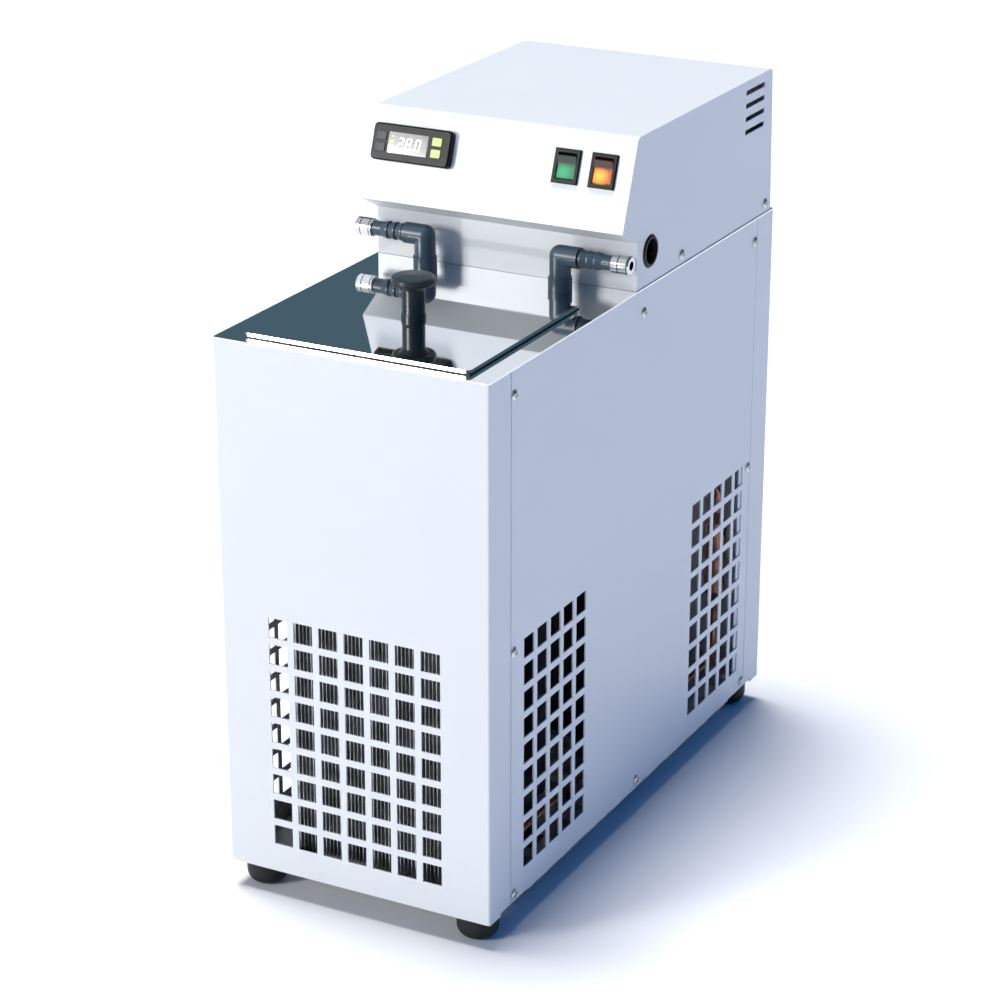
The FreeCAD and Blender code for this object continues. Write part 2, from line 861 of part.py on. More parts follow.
def base_pan():
    body = new_body("base_pan")
    plate = new_sketch(body, "PanPlate", "XY_Plane", "foot_height")
    rectangle(plate, ("-flange_inside", "flange_inside"), ("-face_inside", "face_inside"))
    pad(body, plate, "sheet_gauge")
    edges = new_sketch(body, "PanEdges", "XY_Plane", "foot_height")
    for side in ("-1", "1"):
        x = [f"{side} * flange_inside", f"{side} * wall_inside"]
        y = [f"{side} * (face_inside - sheet_gauge)", f"{side} * face_inside"]
        if side == "-1":
            x.reverse()
            y.reverse()
        rectangle(edges, x, ("-half_depth + pan_notch", "half_depth - pan_notch"))
        rectangle(edges, ("-flange_inside", "flange_inside"), y)
    pad(body, edges, "pan_flange")
    holes = new_sketch(body, "PanFootHoles", "XY_Plane")
    for x in ("-foot_x", "foot_x"):
        for y in ("-foot_y", "foot_y"):
            circle(holes, x, y, "foot_screw_radius")
    pocket(body, holes)
    side_holes = new_sketch(body, "PanScrewHoles", "YZ_Plane")
    circle(side_holes, "0", "screw_low", "screw_radius")
    pocket(body, side_holes)
    node(body, "base_pan")


def move(x, y, z, turn="+Z"):
    return FreeCAD.Placement(V(number(x), number(y), number(z)), TURNS[turn])


def feet():
    foot = turned_body("Foot", [
        ("0", "0"), ("foot_radius", "0"), ("foot_radius", "foot_height"),
        ("foot_screw_radius", "foot_height"), ("foot_screw_radius", "foot_height - foot_screw_depth"),
        ("0", "foot_height - foot_screw_depth"),
    ])
    fillet(foot, "foot_round", lambda edge: near(edge.BoundBox.ZMax, "0")
           and near(edge.BoundBox.XMax, "foot_radius"))
    spots = [(x, y) for x in ("-foot_x", "foot_x") for y in ("-foot_y", "foot_y")]
    node(copies("feet", foot, [move(x, y, "0") for x, y in spots]), "feet")
    bolt = screw("FootBolt", "foot_screw_radius", "foot_screw_depth + sheet_gauge",
                 "foot_screw_radius * 1.8", "foot_screw_radius")
    node(copies("foot_screws", bolt, [move(x, y, "pan_top") for x, y in spots]), "foot_screws")


def hexagon(radius):
    return [(f"{radius} * cos({angle})", f"{radius} * sin({angle})") for angle in range(0, 360, 60)]


def screw(name, radius, length, head_radius, head_height):
    """A low-domed screw along Z, with its head's seat at the origin."""
    return turned_body(name, [
        ("0", f"-({length})"),
        (radius, f"-({length})"),
        (radius, "0"),
        (head_radius, "0"),
        (head_radius, f"{head_height} * 0.35"),
        (f"{head_radius} * 0.62", f"{head_height} * 0.9"),
        ("0", head_height),
    ])


def panel_screws():
    """The like screws that hold the side panels and the head."""
    piece = screw("PanelScrew", "screw_radius", "screw_length", "screw_head_radius", "screw_head_height")
    spots = []
    for side, turn in (("1", "+X"), ("-1", "-X")):
        spots += [move(f"{side} * half_width", column, row, turn) for column, row in side_screw_spots()]
        spots += [move(f"{side} * head_half", column, "head_screw_z", turn) for column in HEAD_SCREW_COLUMNS]
    node(copies("panel_screws", piece, spots), "panel_screws")


# Deck, tank and lid
def deck_plate():
    body = new_body("deck_plate")
    plate = new_sketch(body, "DeckOutline", "XY_Plane", "deck_under")
    rectangle(plate, ("-half_width", "half_width"), ("-half_depth", "half_depth"))
    pad(body, plate, "deck_gauge")
    fillet(body, "deck_corner", is_upright)
    edges = new_sketch(body, "DeckFlanges", "XY_Plane", "deck_under")
    for side in ("-1", "1"):
        x = [f"{side} * flange_inside", f"{side} * wall_inside"]
        y = [f"{side} * (face_inside - sheet_gauge)", f"{side} * face_inside"]
        if side == "-1":
            x.reverse()
            y.reverse()
        rectangle(edges, x, ("-half_depth + pan_notch", "half_depth - pan_notch"))
        rectangle(edges, ("-flange_inside", "flange_inside"), y)
    pad(body, edges, "deck_flange", backwards=True)
    opening = new_sketch(body, "BathOpening", "XY_Plane")
    rectangle(opening, ("-opening_half", "opening_half"), ("opening_front", "opening_back"))
    pocket(body, opening)
    fillet(body, "opening_corner", lambda edge: is_upright(edge)
           and near(abs(edge.Vertexes[0].X), "opening_half"))
    holes = new_sketch(body, "DeckHoles", "XY_Plane")
    for x in ("-nozzle_x", "nozzle_x"):
        circle(holes, x, "nozzle_y", "base_thread_radius + base_hole_clearance")
    circle(holes, "0", "pump_y", "deck_pump_hole")
    circle(holes, "probe_x", "probe_y", "probe_radius")
    for x, y in coil_deck_spots():
        circle(holes, x, y, "coil_tube_radius + coil_hole_clearance")
    pocket(body, holes)
    side_holes = new_sketch(body, "DeckScrewHoles", "YZ_Plane")
    circle(side_holes, "0", "screw_high", "screw_radius")
    pocket(body, side_holes)
    node(body, "deck_plate")


def rounded_block(label, x, y, low, high, corner, floor_round):
    """An upright block with rounded corners and a rounded floor edge."""
    body = new_body(label)
    outline = new_sketch(body, label + "Outline", "XY_Plane", low)
    rectangle(outline, x, y)
    pad(body, outline, f"({high}) - ({low})")
    fillet(body, corner, is_upright)
    fillet(body, floor_round, lambda edge: near(edge.BoundBox.ZMax, low))
    return body


def bath_tank():
    outside = rounded_block("TankOutside", ("-tank_half - tank_gauge", "tank_half + tank_gauge"),
                            ("tank_front - tank_gauge", "tank_back + tank_gauge"),
                            "tank_floor - tank_gauge", "deck_under",
                            "tank_corner + tank_gauge", "tank_floor_round + tank_gauge")
    inside = rounded_block("TankInside", ("-tank_half", "tank_half"), ("tank_front", "tank_back"),
                           "tank_floor", "deck_under + 1", "tank_corner", "tank_floor_round")
    rim = box("TankRim", ("-tank_half - tank_rim", "tank_half + tank_rim"),
              ("tank_front - tank_rim", "tank_back + tank_rim"), ("deck_under - tank_gauge", "deck_under"))
    node(cut("bath_tank", fuse("TankShell", outside, rim), inside), "bath_tank")
    foam = box("FoamBlock", ("-foam_half", "foam_half"),
               ("tank_front - tank_gauge - foam_front", "tank_back + tank_gauge + foam_wall"),
               ("foam_low", "deck_under - tank_gauge"))
    node(cut("tank_insulation", foam, outside), "tank_insulation")


def lid():
    shell = new_body("lid")
    outline = new_sketch(shell, "LidOutline", "XY_Plane", "deck_top + seal_height")
    rectangle(outline, ("-lid_half", "lid_half"), ("lid_front", "lid_back"))
    pad(shell, outline, "lid_height - seal_height")
    fillet(shell, "lid_corner", is_upright)
    hollow = new_sketch(shell, "LidHollow", "XY_Plane", "deck_top + seal_height")
    rectangle(hollow, ("-lid_inside", "lid_inside"), ("lid_front + lid_gauge", "lid_back - lid_gauge"))
    pocket(shell, hollow, "lid_height - seal_height - lid_gauge", backwards=True)
    hole = new_sketch(shell, "KnobHole", "XY_Plane")
    circle(hole, "0", "lid_middle", "knob_screw_radius")
    pocket(shell, hole)
    node(shell, "lid")
    seal = new_body("lid_seal")
    ring = new_sketch(seal, "SealRing", "XY_Plane", "deck_top")
    rectangle(ring, ("-lid_half", "lid_half"), ("lid_front", "lid_back"))
    rectangle(ring, ("-lid_half + seal_width", "lid_half - seal_width"),
              ("lid_front + seal_width", "lid_back - seal_width"))
    pad(seal, ring, "seal_height")
    node(seal, "lid_seal")


def lid_knob():
    knob = turned_body("lid_knob", [
        ("knob_screw_radius", "0"),
        ("knob_foot_radius", "0"),
        ("knob_foot_radius", "knob_foot_height"),
        ("knob_neck_radius", "knob_foot_height + knob_foot_taper"),
        ("knob_neck_radius", "knob_height - knob_disc - knob_flare_height"),
        ("knob_neck_radius + knob_flare", "knob_height - knob_disc"),
        ("knob_radius", "knob_height - knob_disc"),
        ("knob_radius", "knob_height - knob_crown"),
        ("0", "knob_height"),
        ("0", "knob_screw_depth"),
        ("knob_screw_radius", "knob_screw_depth"),
    ])
    fillet(knob, "knob_disc_round", lambda edge: near(edge.BoundBox.XMax, "knob_radius")
           and edge.BoundBox.ZLength < 0.01)
    node(place(knob, ("0", "lid_middle", "lid_top")), "lid_knob")
    screw = turned_body("knob_screw", [
        ("0", "-lid_gauge - knob_screw_head_height"),
        ("knob_screw_radius + knob_screw_head", "-lid_gauge - knob_screw_head_height"),
        ("knob_screw_radius + knob_screw_head", "-lid_gauge"),
        ("knob_screw_radius", "-lid_gauge"),
        ("knob_screw_radius", "knob_screw_depth"),
        ("0", "knob_screw_depth"),
    ])
    node(place(screw, ("0", "lid_middle", "lid_top")), "knob_screw")


# Head
def head_cover():
    body = new_body("HeadShell")
    side = new_sketch(body, "HeadSide", "YZ_Plane")
    polygon(side, [
        ("neck_y", "head_bottom"),
        ("half_depth - head_back_inset + head_back_lean", "head_bottom"),
        ("head_back", "head_top"),
        ("panel_top_y", "head_top"),
        ("panel_foot_y", "panel_foot_z"),
        ("neck_y", "neck_top"),
    ])
    pad(body, side, "2 * head_half", both_ways=True)
    fillet(body, "head_front_round", lambda edge: edge.BoundBox.YLength < 0.01
           and near(edge.BoundBox.YMax, "panel_top_y"))
    fillet(body, "head_back_round", lambda edge: edge.BoundBox.YLength < 0.01
           and near(edge.BoundBox.YMax, "head_back"))
    doc.recompute()
    under = [f"Face{k}" for k, face in enumerate(body.Shape.Faces, 1)
             if near(face.BoundBox.ZMax, "head_bottom")]
    solid = body.Tip
    shell = body.newObject("PartDesign::Thickness", "HeadWall")
    shell.Base = (solid, under)
    bind(shell, "Value", "head_gauge")
    shell.Reversed = True
    shell.Join = "Intersection"
    slot = new_sketch(body, "HeadSlot", "YZ_Plane")
    back = "head_back - slot_back_inset"
    low = "head_top - slot_top_drop - (slot_count - 1) * slot_pitch"
    rectangle(slot, (f"{back} - slot_length", back), (f"{low} - slot_width / 2", f"{low} + slot_width / 2"))
    opening = pocket(body, slot)
    grid(body, opening, slot, (("V_Axis", "slot_pitch", "slot_count"),))
    holes = new_sketch(body, "HeadScrewHoles", "YZ_Plane")
    for y in HEAD_SCREW_COLUMNS:
        circle(holes, y, "head_screw_z", "screw_hole_radius")
    pocket(body, holes)
    grommet_hole = rod("GrommetHole", "grommet_hole_radius", "2 * head_gauge + 2",
                       ("head_half - head_gauge - 1", "neck_y + grommet_setback", "deck_top + grommet_rise"), "+X")
    cutters = [grommet_hole]
    middle = "control_rise"
    cutters.append(panel_box("ControllerHole",
                             ("controller_x - case_width / 2 - panel_clearance",
                              "controller_x + case_width / 2 + panel_clearance"),
                             (f"{middle} - case_height / 2 - panel_clearance",
                              f"{middle} + case_height / 2 + panel_clearance"), ("-10", "5")))
    for name, x in (("LeftSwitchHole", "switch_left_x"), ("RightSwitchHole", "switch_right_x")):
        cutters.append(panel_box(name,
                                 (f"{x} - switch_body_width / 2 - panel_clearance",
                                  f"{x} + switch_body_width / 2 + panel_clearance"),
                                 (f"{middle} - switch_body_height / 2 - panel_clearance",
                                  f"{middle} + switch_body_height / 2 + panel_clearance"), ("-10", "5")))
    node(cut("head_cover", body, *cutters), "head_cover")


def side_grommet():
    grommet = turned_body("side_grommet", [
        ("grommet_bore_radius", "-head_gauge - grommet_lip"),
        ("grommet_radius", "-head_gauge - grommet_lip"),
        ("grommet_radius", "-head_gauge"),
        ("grommet_hole_radius", "-head_gauge"),
        ("grommet_hole_radius", "0"),
        ("grommet_radius", "0"),
        ("grommet_radius - grommet_lip", "grommet_lip"),
        ("grommet_bore_radius", "grommet_lip"),
    ])
    node(place(grommet, ("head_half", "neck_y + grommet_setback", "deck_top + grommet_rise"), "+X"), "side_grommet")


def head_rail(name, side):
    """An angle on the deck that the head's side is screwed to."""
    body = new_body(name)
    section = new_sketch(body, name + "Section", "XZ_Plane", "-rail_back")
    outer = f"{side} * head_inside"
    inner = f"{side} * (head_inside - rail_gauge)"
    toe = f"{side} * (head_inside - rail_foot)"
    polygon(section, [
        (outer, "deck_top"), (outer, "deck_top + rail_height"), (inner, "deck_top + rail_height"),
        (inner, "deck_top + rail_gauge"), (toe, "deck_top + rail_gauge"), (toe, "deck_top"),
    ])
    pad(body, section, "rail_back - rail_front")
    holes = new_sketch(body, name + "Holes", "YZ_Plane")
    for y in HEAD_SCREW_COLUMNS:
        circle(holes, y, "head_screw_z", "screw_radius")
    pocket(body, holes)
    return body


# Controller and switches
def key_spots():
    """Name, x and y of each key, from the middle of the controller's bezel."""
    return [(f"{row}_{side}_key", x, y)
            for side, x in (("left", "key_left_x"), ("right", "key_right_x"))
            for row, y in (("upper", "key_step / 2"), ("lower", "-key_step / 2"))]


def controller():
    body = new_body("controller_case")
    bezel = new_sketch(body, "Bezel", "XY_Plane")
    rectangle(bezel, ("-bezel_width / 2", "bezel_width / 2"), ("-bezel_height / 2", "bezel_height / 2"))
    pad(body, bezel, "bezel_depth")
    fillet(body, "bezel_corner", is_upright)
    fillet(body, "bezel_edge", lambda edge: near(edge.BoundBox.ZMin, "bezel_depth"))
    case = new_sketch(body, "Case", "XY_Plane")
    rectangle(case, ("-case_width / 2", "case_width / 2"), ("-case_height / 2", "case_height / 2"))
    pad(body, case, "case_depth", backwards=True)
    recess = new_sketch(body, "WindowRecess", "XY_Plane", "bezel_depth")
    rectangle(recess, ("window_left", "window_right"),
              ("-window_height / 2", "window_height / 2"))
    pocket(body, recess, "window_recess")
    wells = new_sketch(body, "KeyWells", "XY_Plane", "bezel_depth")
    for _, x, y in key_spots():
        rectangle(wells, (f"{x} - key_width / 2 - key_clearance", f"{x} + key_width / 2 + key_clearance"),
                  (f"{y} - key_height / 2 - key_clearance", f"{y} + key_height / 2 + key_clearance"))
    pocket(body, wells, "key_depth - key_proud + key_travel + key_clearance")
    node(place_on_panel(body, "controller_x", "control_rise", "0"), "controller_case")
    window = panel_box("display_window",
                       ("controller_x + window_left", "controller_x + window_right"),
                       ("control_rise - window_height / 2", "control_rise + window_height / 2"),
                       ("bezel_depth - window_recess", "bezel_depth"))
    node(window, "display_window")
    for name, x, y in key_spots():
        key = new_body(name)
        cap = new_sketch(key, name + "Cap", "XY_Plane")
        rectangle(cap, ("-key_width / 2", "key_width / 2"), ("-key_height / 2", "key_height / 2"))
        pad(key, cap, "key_depth")
        fillet(key, "key_round", is_upright)
        place_on_panel(key, f"controller_x + {x}", f"control_rise + {y}", "bezel_depth + key_proud - key_depth")
        node(key, name)


def rocker_switch(name, x):
    frame = new_body(name + "_frame")
    rim = new_sketch(frame, name + "Rim", "XY_Plane")
    rectangle(rim, ("-switch_width / 2", "switch_width / 2"), ("-switch_height / 2", "switch_height / 2"))
    pad(frame, rim, "switch_rim")
    fillet(frame, "switch_rim_round", lambda edge: near(edge.BoundBox.ZMin, "switch_rim"))
    housing = new_sketch(frame, name + "Housing", "XY_Plane")
    rectangle(housing, ("-switch_body_width / 2", "switch_body_width / 2"),
              ("-switch_body_height / 2", "switch_body_height / 2"))
    pad(frame, housing, "switch_body_depth", backwards=True)
    well = new_sketch(frame, name + "Well", "XY_Plane", "switch_rim")
    inside = "switch_body_width / 2 - switch_wall"
    reach = "rocker_radius + rocker_gap"
    rectangle(well, (f"-({inside})", inside), (f"-({reach})", reach))
    pocket(frame, well, "switch_rim + rocker_pivot_depth + rocker_radius * 0.6")
    pivot = new_sketch(frame, name + "Pivot", "YZ_Plane")
    circle(pivot, "0", "-rocker_pivot_depth", "rocker_pin_radius + pin_clearance")
    pocket(frame, pivot)
    node(place_on_panel(frame, x, "control_rise", "0"), name + "_frame")

    half = "switch_body_width / 2 - switch_wall - rocker_gap"
    barrel = rod(name + "Barrel", "rocker_radius", f"2 * ({half})", (f"-({half})", "0", "0"), "+X")
    blade = new_body(name + "Blade")
    outline = new_sketch(blade, name + "BladeOutline", "YZ_Plane")
    tip_y = "rocker_radius * cos(rocker_tip_angle)"
    tip_z = "rocker_radius * sin(rocker_tip_angle)"
    beyond = "rocker_radius + 1"
    slope = f"(({tip_z}) - rocker_dip) / ({tip_y})"
    edge_z = f"rocker_dip + ({slope}) * ({beyond})"
    polygon(outline, [
        ("0", "rocker_dip"), (f"-({beyond})", edge_z), (f"-({beyond})", "-rocker_tail"),
        (beyond, "-rocker_tail"), (beyond, edge_z),
    ])
    pad(blade, outline, f"2 * ({half})", both_ways=True)
    pins = rod(name + "Pins", "rocker_pin_radius", "switch_body_width - 0.4",
               ("-switch_body_width / 2 + 0.2", "0", "0"), "+X")
    rocker = fuse(name + "_rocker", common(name + "Paddle", barrel, blade), pins)
    place_on_panel(rocker, x, "control_rise", "-rocker_pivot_depth", "rocker_tilt")
    node(rocker, name + "_rocker")


# Circulation nozzles
def nozzle_pair(name, source, height):
    """The outlet's and the return's piece: the source as it is, and turned half round, at a height."""
    half_turn = FreeCAD.Rotation(V(0, 0, 1), 180)
    spots = [FreeCAD.Placement(V(side * number("nozzle_x"), number("nozzle_y"), number(height)), turn)
             for side, turn in ((1, NO_TURN), (-1, half_turn))]
    node(copies(name, source, spots), name)


def nozzle_bases():
    base = turned_body("NozzleBase", [
        ("pipe_bore / 2", "-base_thread_length"),
        ("base_thread_radius", "-base_thread_length"),
        ("base_thread_radius", "0"),
        ("base_radius", "0"),
        ("base_radius", "base_height"),
        ("pipe_bore / 2", "base_height"),
    ])
    nozzle_pair("nozzle_bases", base, "deck_top")
    nut = new_body("NozzleNut")
    outline = new_sketch(nut, "NozzleNutOutline", "XY_Plane")
    polygon(outline, hexagon("base_nut_radius"))
    circle(outline, "0", "0", "base_thread_radius")
    pad(nut, outline, "base_nut_height")
    nozzle_pair("nozzle_nuts", nut, "deck_under - base_nut_height")


def elbow_solid(name, radius):
    """Leg, round corner and arm of an elbow that rises from the deck and turns towards +X."""
    leg = rod(name + "Leg", radius, "nozzle_rise - base_height", ("0", "0", "base_height"))
    arm = rod(name + "Arm", radius, "elbow_reach", ("0", "0", "nozzle_rise"), "+X")
    corner = doc.addObject("Part::Sphere", name + "Corner")
    bind(corner, "Radius", radius)
    place(corner, ("0", "0", "nozzle_rise"))
    return fuse(name, leg, corner, arm)


def elbows():
    elbow = cut("Elbow", elbow_solid("ElbowSolid", "elbow_radius"), elbow_solid("ElbowBore", "pipe_bore / 2"))
    nozzle_pair("nozzle_elbows", elbow, "deck_top")


def barb_profile():
    """Radius and length along a hose nozzle, from its seat on the elbow."""
    corners = [("pipe_bore / 2", "0"), ("barb_root_radius", "0"), ("barb_root_radius", "barb_lead")]
    for step in range(SIZES["barb_count"]):
        start = f"barb_lead + {step} * barb_pitch"
        corners.append(("barb_radius", start))
        corners.append(("barb_radius", f"{start} + barb_pitch * 0.2"))
        corners.append(("barb_root_radius", f"{start} + barb_pitch"))
    corners.append(("nozzle_neck_radius", "barb_length"))
    corners.append(("nozzle_neck_radius", "nozzle_length"))
    corners.append(("pipe_bore / 2", "nozzle_length"))
    return corners


def hose_nozzles():
    nozzle = turned_body("HoseNozzle", barb_profile())
    nozzle_pair("hose_nozzles", place(nozzle, ("elbow_reach", "0", "0"), "+X"), "nozzle_axis")
    tip = turned_body("NozzleTip", [
        ("pipe_bore / 2", "0"),
        ("tip_radius - tip_chamfer", "0"),
        ("tip_radius", "tip_chamfer"),
        ("tip_radius", "tip_length - tip_chamfer"),
        ("tip_radius - tip_chamfer", "tip_length"),
        ("pipe_bore / 2", "tip_length"),
    ])
    nozzle_pair("nozzle_tips", place(tip, ("elbow_reach + nozzle_length", "0", "0"), "+X"), "nozzle_axis")


# Circulation pump
def pump():
    motor = turned_body("pump_motor", [
        ("shaft_radius + shaft_clearance", "0"),
        ("motor_radius", "0"),
        ("motor_radius", "motor_height"),
        ("shaft_radius + shaft_clearance", "motor_height"),
    ])
    fillet(motor, "motor_cap_round", lambda edge: near(edge.BoundBox.ZMin, "motor_height")
           and near(edge.BoundBox.XMax, "motor_radius"))
    node(place(motor, ("0", "pump_y", "deck_top")), "pump_motor")
    column = turned_body("pump_column", [
        ("column_bore", "0"), ("column_radius", "0"),
        ("column_radius", "deck_top - housing_top"), ("column_bore", "deck_top - housing_top"),
    ])
    node(place(column, ("0", "pump_y", "housing_top")), "pump_column")
    bowl = turned_body("HousingBowl", [
        ("inlet_radius", "0"),
        ("housing_radius", "0"),
        ("housing_radius", "housing_height"),
        ("shaft_radius + 0.5", "housing_height"),
        ("shaft_radius + 0.5", "housing_height - housing_wall"),
        ("housing_radius - housing_wall", "housing_height - housing_wall"),
        ("housing_radius - housing_wall", "housing_wall"),
        ("inlet_radius", "housing_wall"),
    ])
    place(bowl, ("0", "pump_y", "housing_low"))
    port = rod("HousingPort", "delivery_bore", "housing_wall * 2 + 2",
               ("-housing_radius + housing_wall + 1", "pump_y", "delivery_z"), "-X")
    node(cut("pump_housing", bowl, port), "pump_housing")
    seat = "housing_low + housing_wall + impeller_gap"
    impeller = new_body("pump_impeller")
    hub = new_sketch(impeller, "ImpellerHub", "XY_Plane")
    circle(hub, "0", "0", "impeller_hub")
    pad(impeller, hub, "impeller_height")
    blade = new_sketch(impeller, "ImpellerBlade", "XY_Plane")
    rectangle(blade, ("impeller_hub - 1", "impeller_radius"), ("-impeller_blade / 2", "impeller_blade / 2"))
    vane = pad(impeller, blade, "impeller_height")
    ring_of(impeller, vane, blade, "impeller_blades")
    bore = new_sketch(impeller, "ImpellerBore", "XY_Plane")
    circle(bore, "0", "0", "shaft_radius")
    pocket(impeller, bore)
    node(place(impeller, ("0", "pump_y", seat)), "pump_impeller")
    shaft = rod("pump_shaft", "shaft_radius", f"deck_top + motor_height + 4 - ({seat})", ("0", "pump_y", seat))
    node(shaft, "pump_shaft")
    pipe = tube("delivery_pipe", [
        ("-housing_radius", "pump_y", "delivery_z"),
        ("-nozzle_x", "pump_y", "delivery_z"),
        ("-nozzle_x", "nozzle_y", "delivery_z"),
        ("-nozzle_x", "nozzle_y", "deck_top - base_thread_length"),
    ], "delivery_bend", "delivery_radius", "delivery_bore")
    node(pipe, "delivery_pipe")


def temperature_probe():
    probe = rod("temperature_probe", "probe_radius", "deck_top + probe_stand - probe_low",
                ("probe_x", "probe_y", "probe_low"))
    node(probe, "temperature_probe")
    gland = turned_body("probe_gland", [
        ("probe_radius", "0"), ("gland_radius", "0"), ("gland_radius", "gland_height * 0.6"),
        ("gland_radius - 2", "gland_height"), ("probe_radius", "gland_height"),
    ])
    node(place(gland, ("probe_x", "probe_y", "deck_top")), "probe_gland")


# Refrigeration
def coil_deck_spots():
    """Where the coil's two ends pass through the deck, down into the bath and down behind it."""
    return [("coil_x", "coil_back_y"), ("coil_x", "coil_return_y"),
            ("coil_x", "coil_drop_y"), ("coil_x - coil_drop_step", "coil_drop_y + coil_drop_step")]


def cooling_coil():
    low = ["coil_low + %d * coil_pitch" % k for k in range(4)]
    spots = [
        ("line_x", "drier_y", "drier_low + drier_length"),
        ("line_x", "drier_y", "coil_tail"),
        ("coil_x", "coil_drop_y", "coil_tail"),
        ("coil_x", "coil_drop_y", "coil_arch"),
        ("coil_x", "coil_back_y", "coil_arch"),
        ("coil_x", "coil_back_y", low[0]),
        ("coil_x", "coil_front", low[0]),
        ("coil_x", "coil_front", low[1]),
        ("coil_x", "coil_return_y - coil_pitch", low[1]),
        ("coil_x", "coil_return_y - coil_pitch", low[2]),
        ("coil_x", "coil_front", low[2]),
        ("coil_x", "coil_front", low[3]),
        ("coil_x", "coil_return_y", low[3]),
        ("coil_x", "coil_return_y", "coil_arch + coil_arch_step"),
        ("coil_x - coil_drop_step", "coil_drop_y + coil_drop_step", "coil_arch + coil_arch_step"),
        ("coil_x - coil_drop_step", "coil_drop_y + coil_drop_step", "compressor_top + suction_over"),
        ("compressor_x", "compressor_y", "compressor_top + suction_over"),
        ("compressor_x", "compressor_y", "compressor_top - 2"),
    ]
    node(tube("cooling_coil", spots, "coil_bend", "coil_tube_radius"), "cooling_coil")


def condenser():
    core = new_body("condenser_core")
    block = new_sketch(core, "CoreOutline", "XY_Plane", "condenser_low")
    rectangle(block, ("condenser_left", "condenser_right"), ("condenser_front", "condenser_back"))
    pad(core, block, "condenser_height")
    count = "floor((condenser_width - fin_pitch) / fin_pitch)"
    start = f"condenser_x - ({count} * fin_pitch - fin_pitch + fin_gap) / 2"
    for name, y in (("FrontFins", ("condenser_front - 1", "condenser_front + fin_slot_depth")),
                    ("BackFins", ("condenser_back - fin_slot_depth", "condenser_back + 1"))):
        slot = new_sketch(core, name, "XY_Plane")
        rectangle(slot, (start, f"{start} + fin_gap"), y)
        gap = pocket(core, slot)
        grid(core, gap, slot, (("H_Axis", "fin_pitch", count),))
    node(core, "condenser_core")
    plates = [box(name, x, ("condenser_front - end_plate_margin", "condenser_back + end_plate_margin"),
                  ("pan_top", "condenser_top + end_plate_margin"))
              for name, x in (("LeftEndPlate", ("condenser_left - sheet_gauge", "condenser_left")),
                              ("RightEndPlate", ("condenser_right", "condenser_right + sheet_gauge")))]
    node(bundle("condenser_end_plates", plates), "condenser_end_plates")
    left_wall = "condenser_left - sheet_gauge"
    right_wall = "condenser_right + sheet_gauge"
    ends = [(left_wall, f"{left_wall} - condenser_bend - bend_run"),
            (right_wall, f"{right_wall} + condenser_bend + bend_run")]
    bends = []
    for row in range(SIZES["condenser_tube_rows"] - 1):
        z = f"condenser_tube_low + {row} * condenser_tube_pitch"
        wall, reach = ends[row % 2]
        bends.append(bent_rod([(wall, "condenser_tube_y", z), (reach, "condenser_tube_y", z),
                               (reach, "condenser_tube_y", f"{z} + condenser_tube_pitch"),
                               (wall, "condenser_tube_y", f"{z} + condenser_tube_pitch")],
                              "condenser_bend", "condenser_tube_radius"))
    tubes = doc.addObject("Part::Feature", "condenser_bends")
    tubes.Shape = Part.makeCompound(bends)
    node(tubes, "condenser_bends")


def fan_baffle():
    body = new_body("fan_baffle")
    plate = new_sketch(body, "BafflePlate", "XZ_Plane", "-baffle_y")
    half = "baffle_half"
    top = "baffle_floor + baffle_height"
    polygon(plate, [
        (f"-{half}", "pan_top"), (f"-{half} + baffle_leg", "pan_top"), (f"-{half} + baffle_leg", "baffle_floor"),
        (f"{half} - baffle_leg", "baffle_floor"), (f"{half} - baffle_leg", "pan_top"), (half, "pan_top"),
        (half, top), (f"-{half}", top),
    ])
    circle(plate, "0", "fan_z", "baffle_opening")
    pad(body, plate, "sheet_gauge")
    sides = new_sketch(body, "BaffleSides", "XY_Plane", "baffle_floor")
    rectangle(sides, (f"-{half}", f"-{half} + sheet_gauge"), ("baffle_y", "baffle_y + baffle_flange"))
    rectangle(sides, (f"{half} - sheet_gauge", half), ("baffle_y", "baffle_y + baffle_flange"))
    pad(body, sides, "baffle_height")
    feet_tabs = new_sketch(body, "BaffleToes", "XY_Plane", "pan_top")
    rectangle(feet_tabs, (f"-{half}", f"-{half} + baffle_leg"), ("baffle_y", "baffle_y + baffle_leg"))
    rectangle(feet_tabs, (f"{half} - baffle_leg", half), ("baffle_y", "baffle_y + baffle_leg"))
    pad(body, feet_tabs, "sheet_gauge")
    node(body, "fan_baffle")
    inside = "baffle_half - sheet_gauge"
    bar = box("StrapBar", (f"-({inside})", inside), ("strap_y - strap_gauge", "strap_y"),
              ("fan_z - strap_width / 2", "fan_z + strap_width / 2"))
    tabs = [box(name, x, ("strap_y - baffle_flange / 2", "strap_y"),
                ("fan_z - strap_width / 2", "fan_z + strap_width / 2"))
            for name, x in (("LeftStrapTab", (f"-({inside})", f"-({inside}) + strap_gauge")),
                            ("RightStrapTab", (f"{inside} - strap_gauge", inside)))]
    hole = rod("StrapHole", "shaft_radius + 1", "strap_gauge + 2", ("0", "strap_y - strap_gauge - 1", "fan_z"), "+Y")
    node(cut("fan_strap", fuse("StrapSolid", bar, *tabs), hole), "fan_strap")


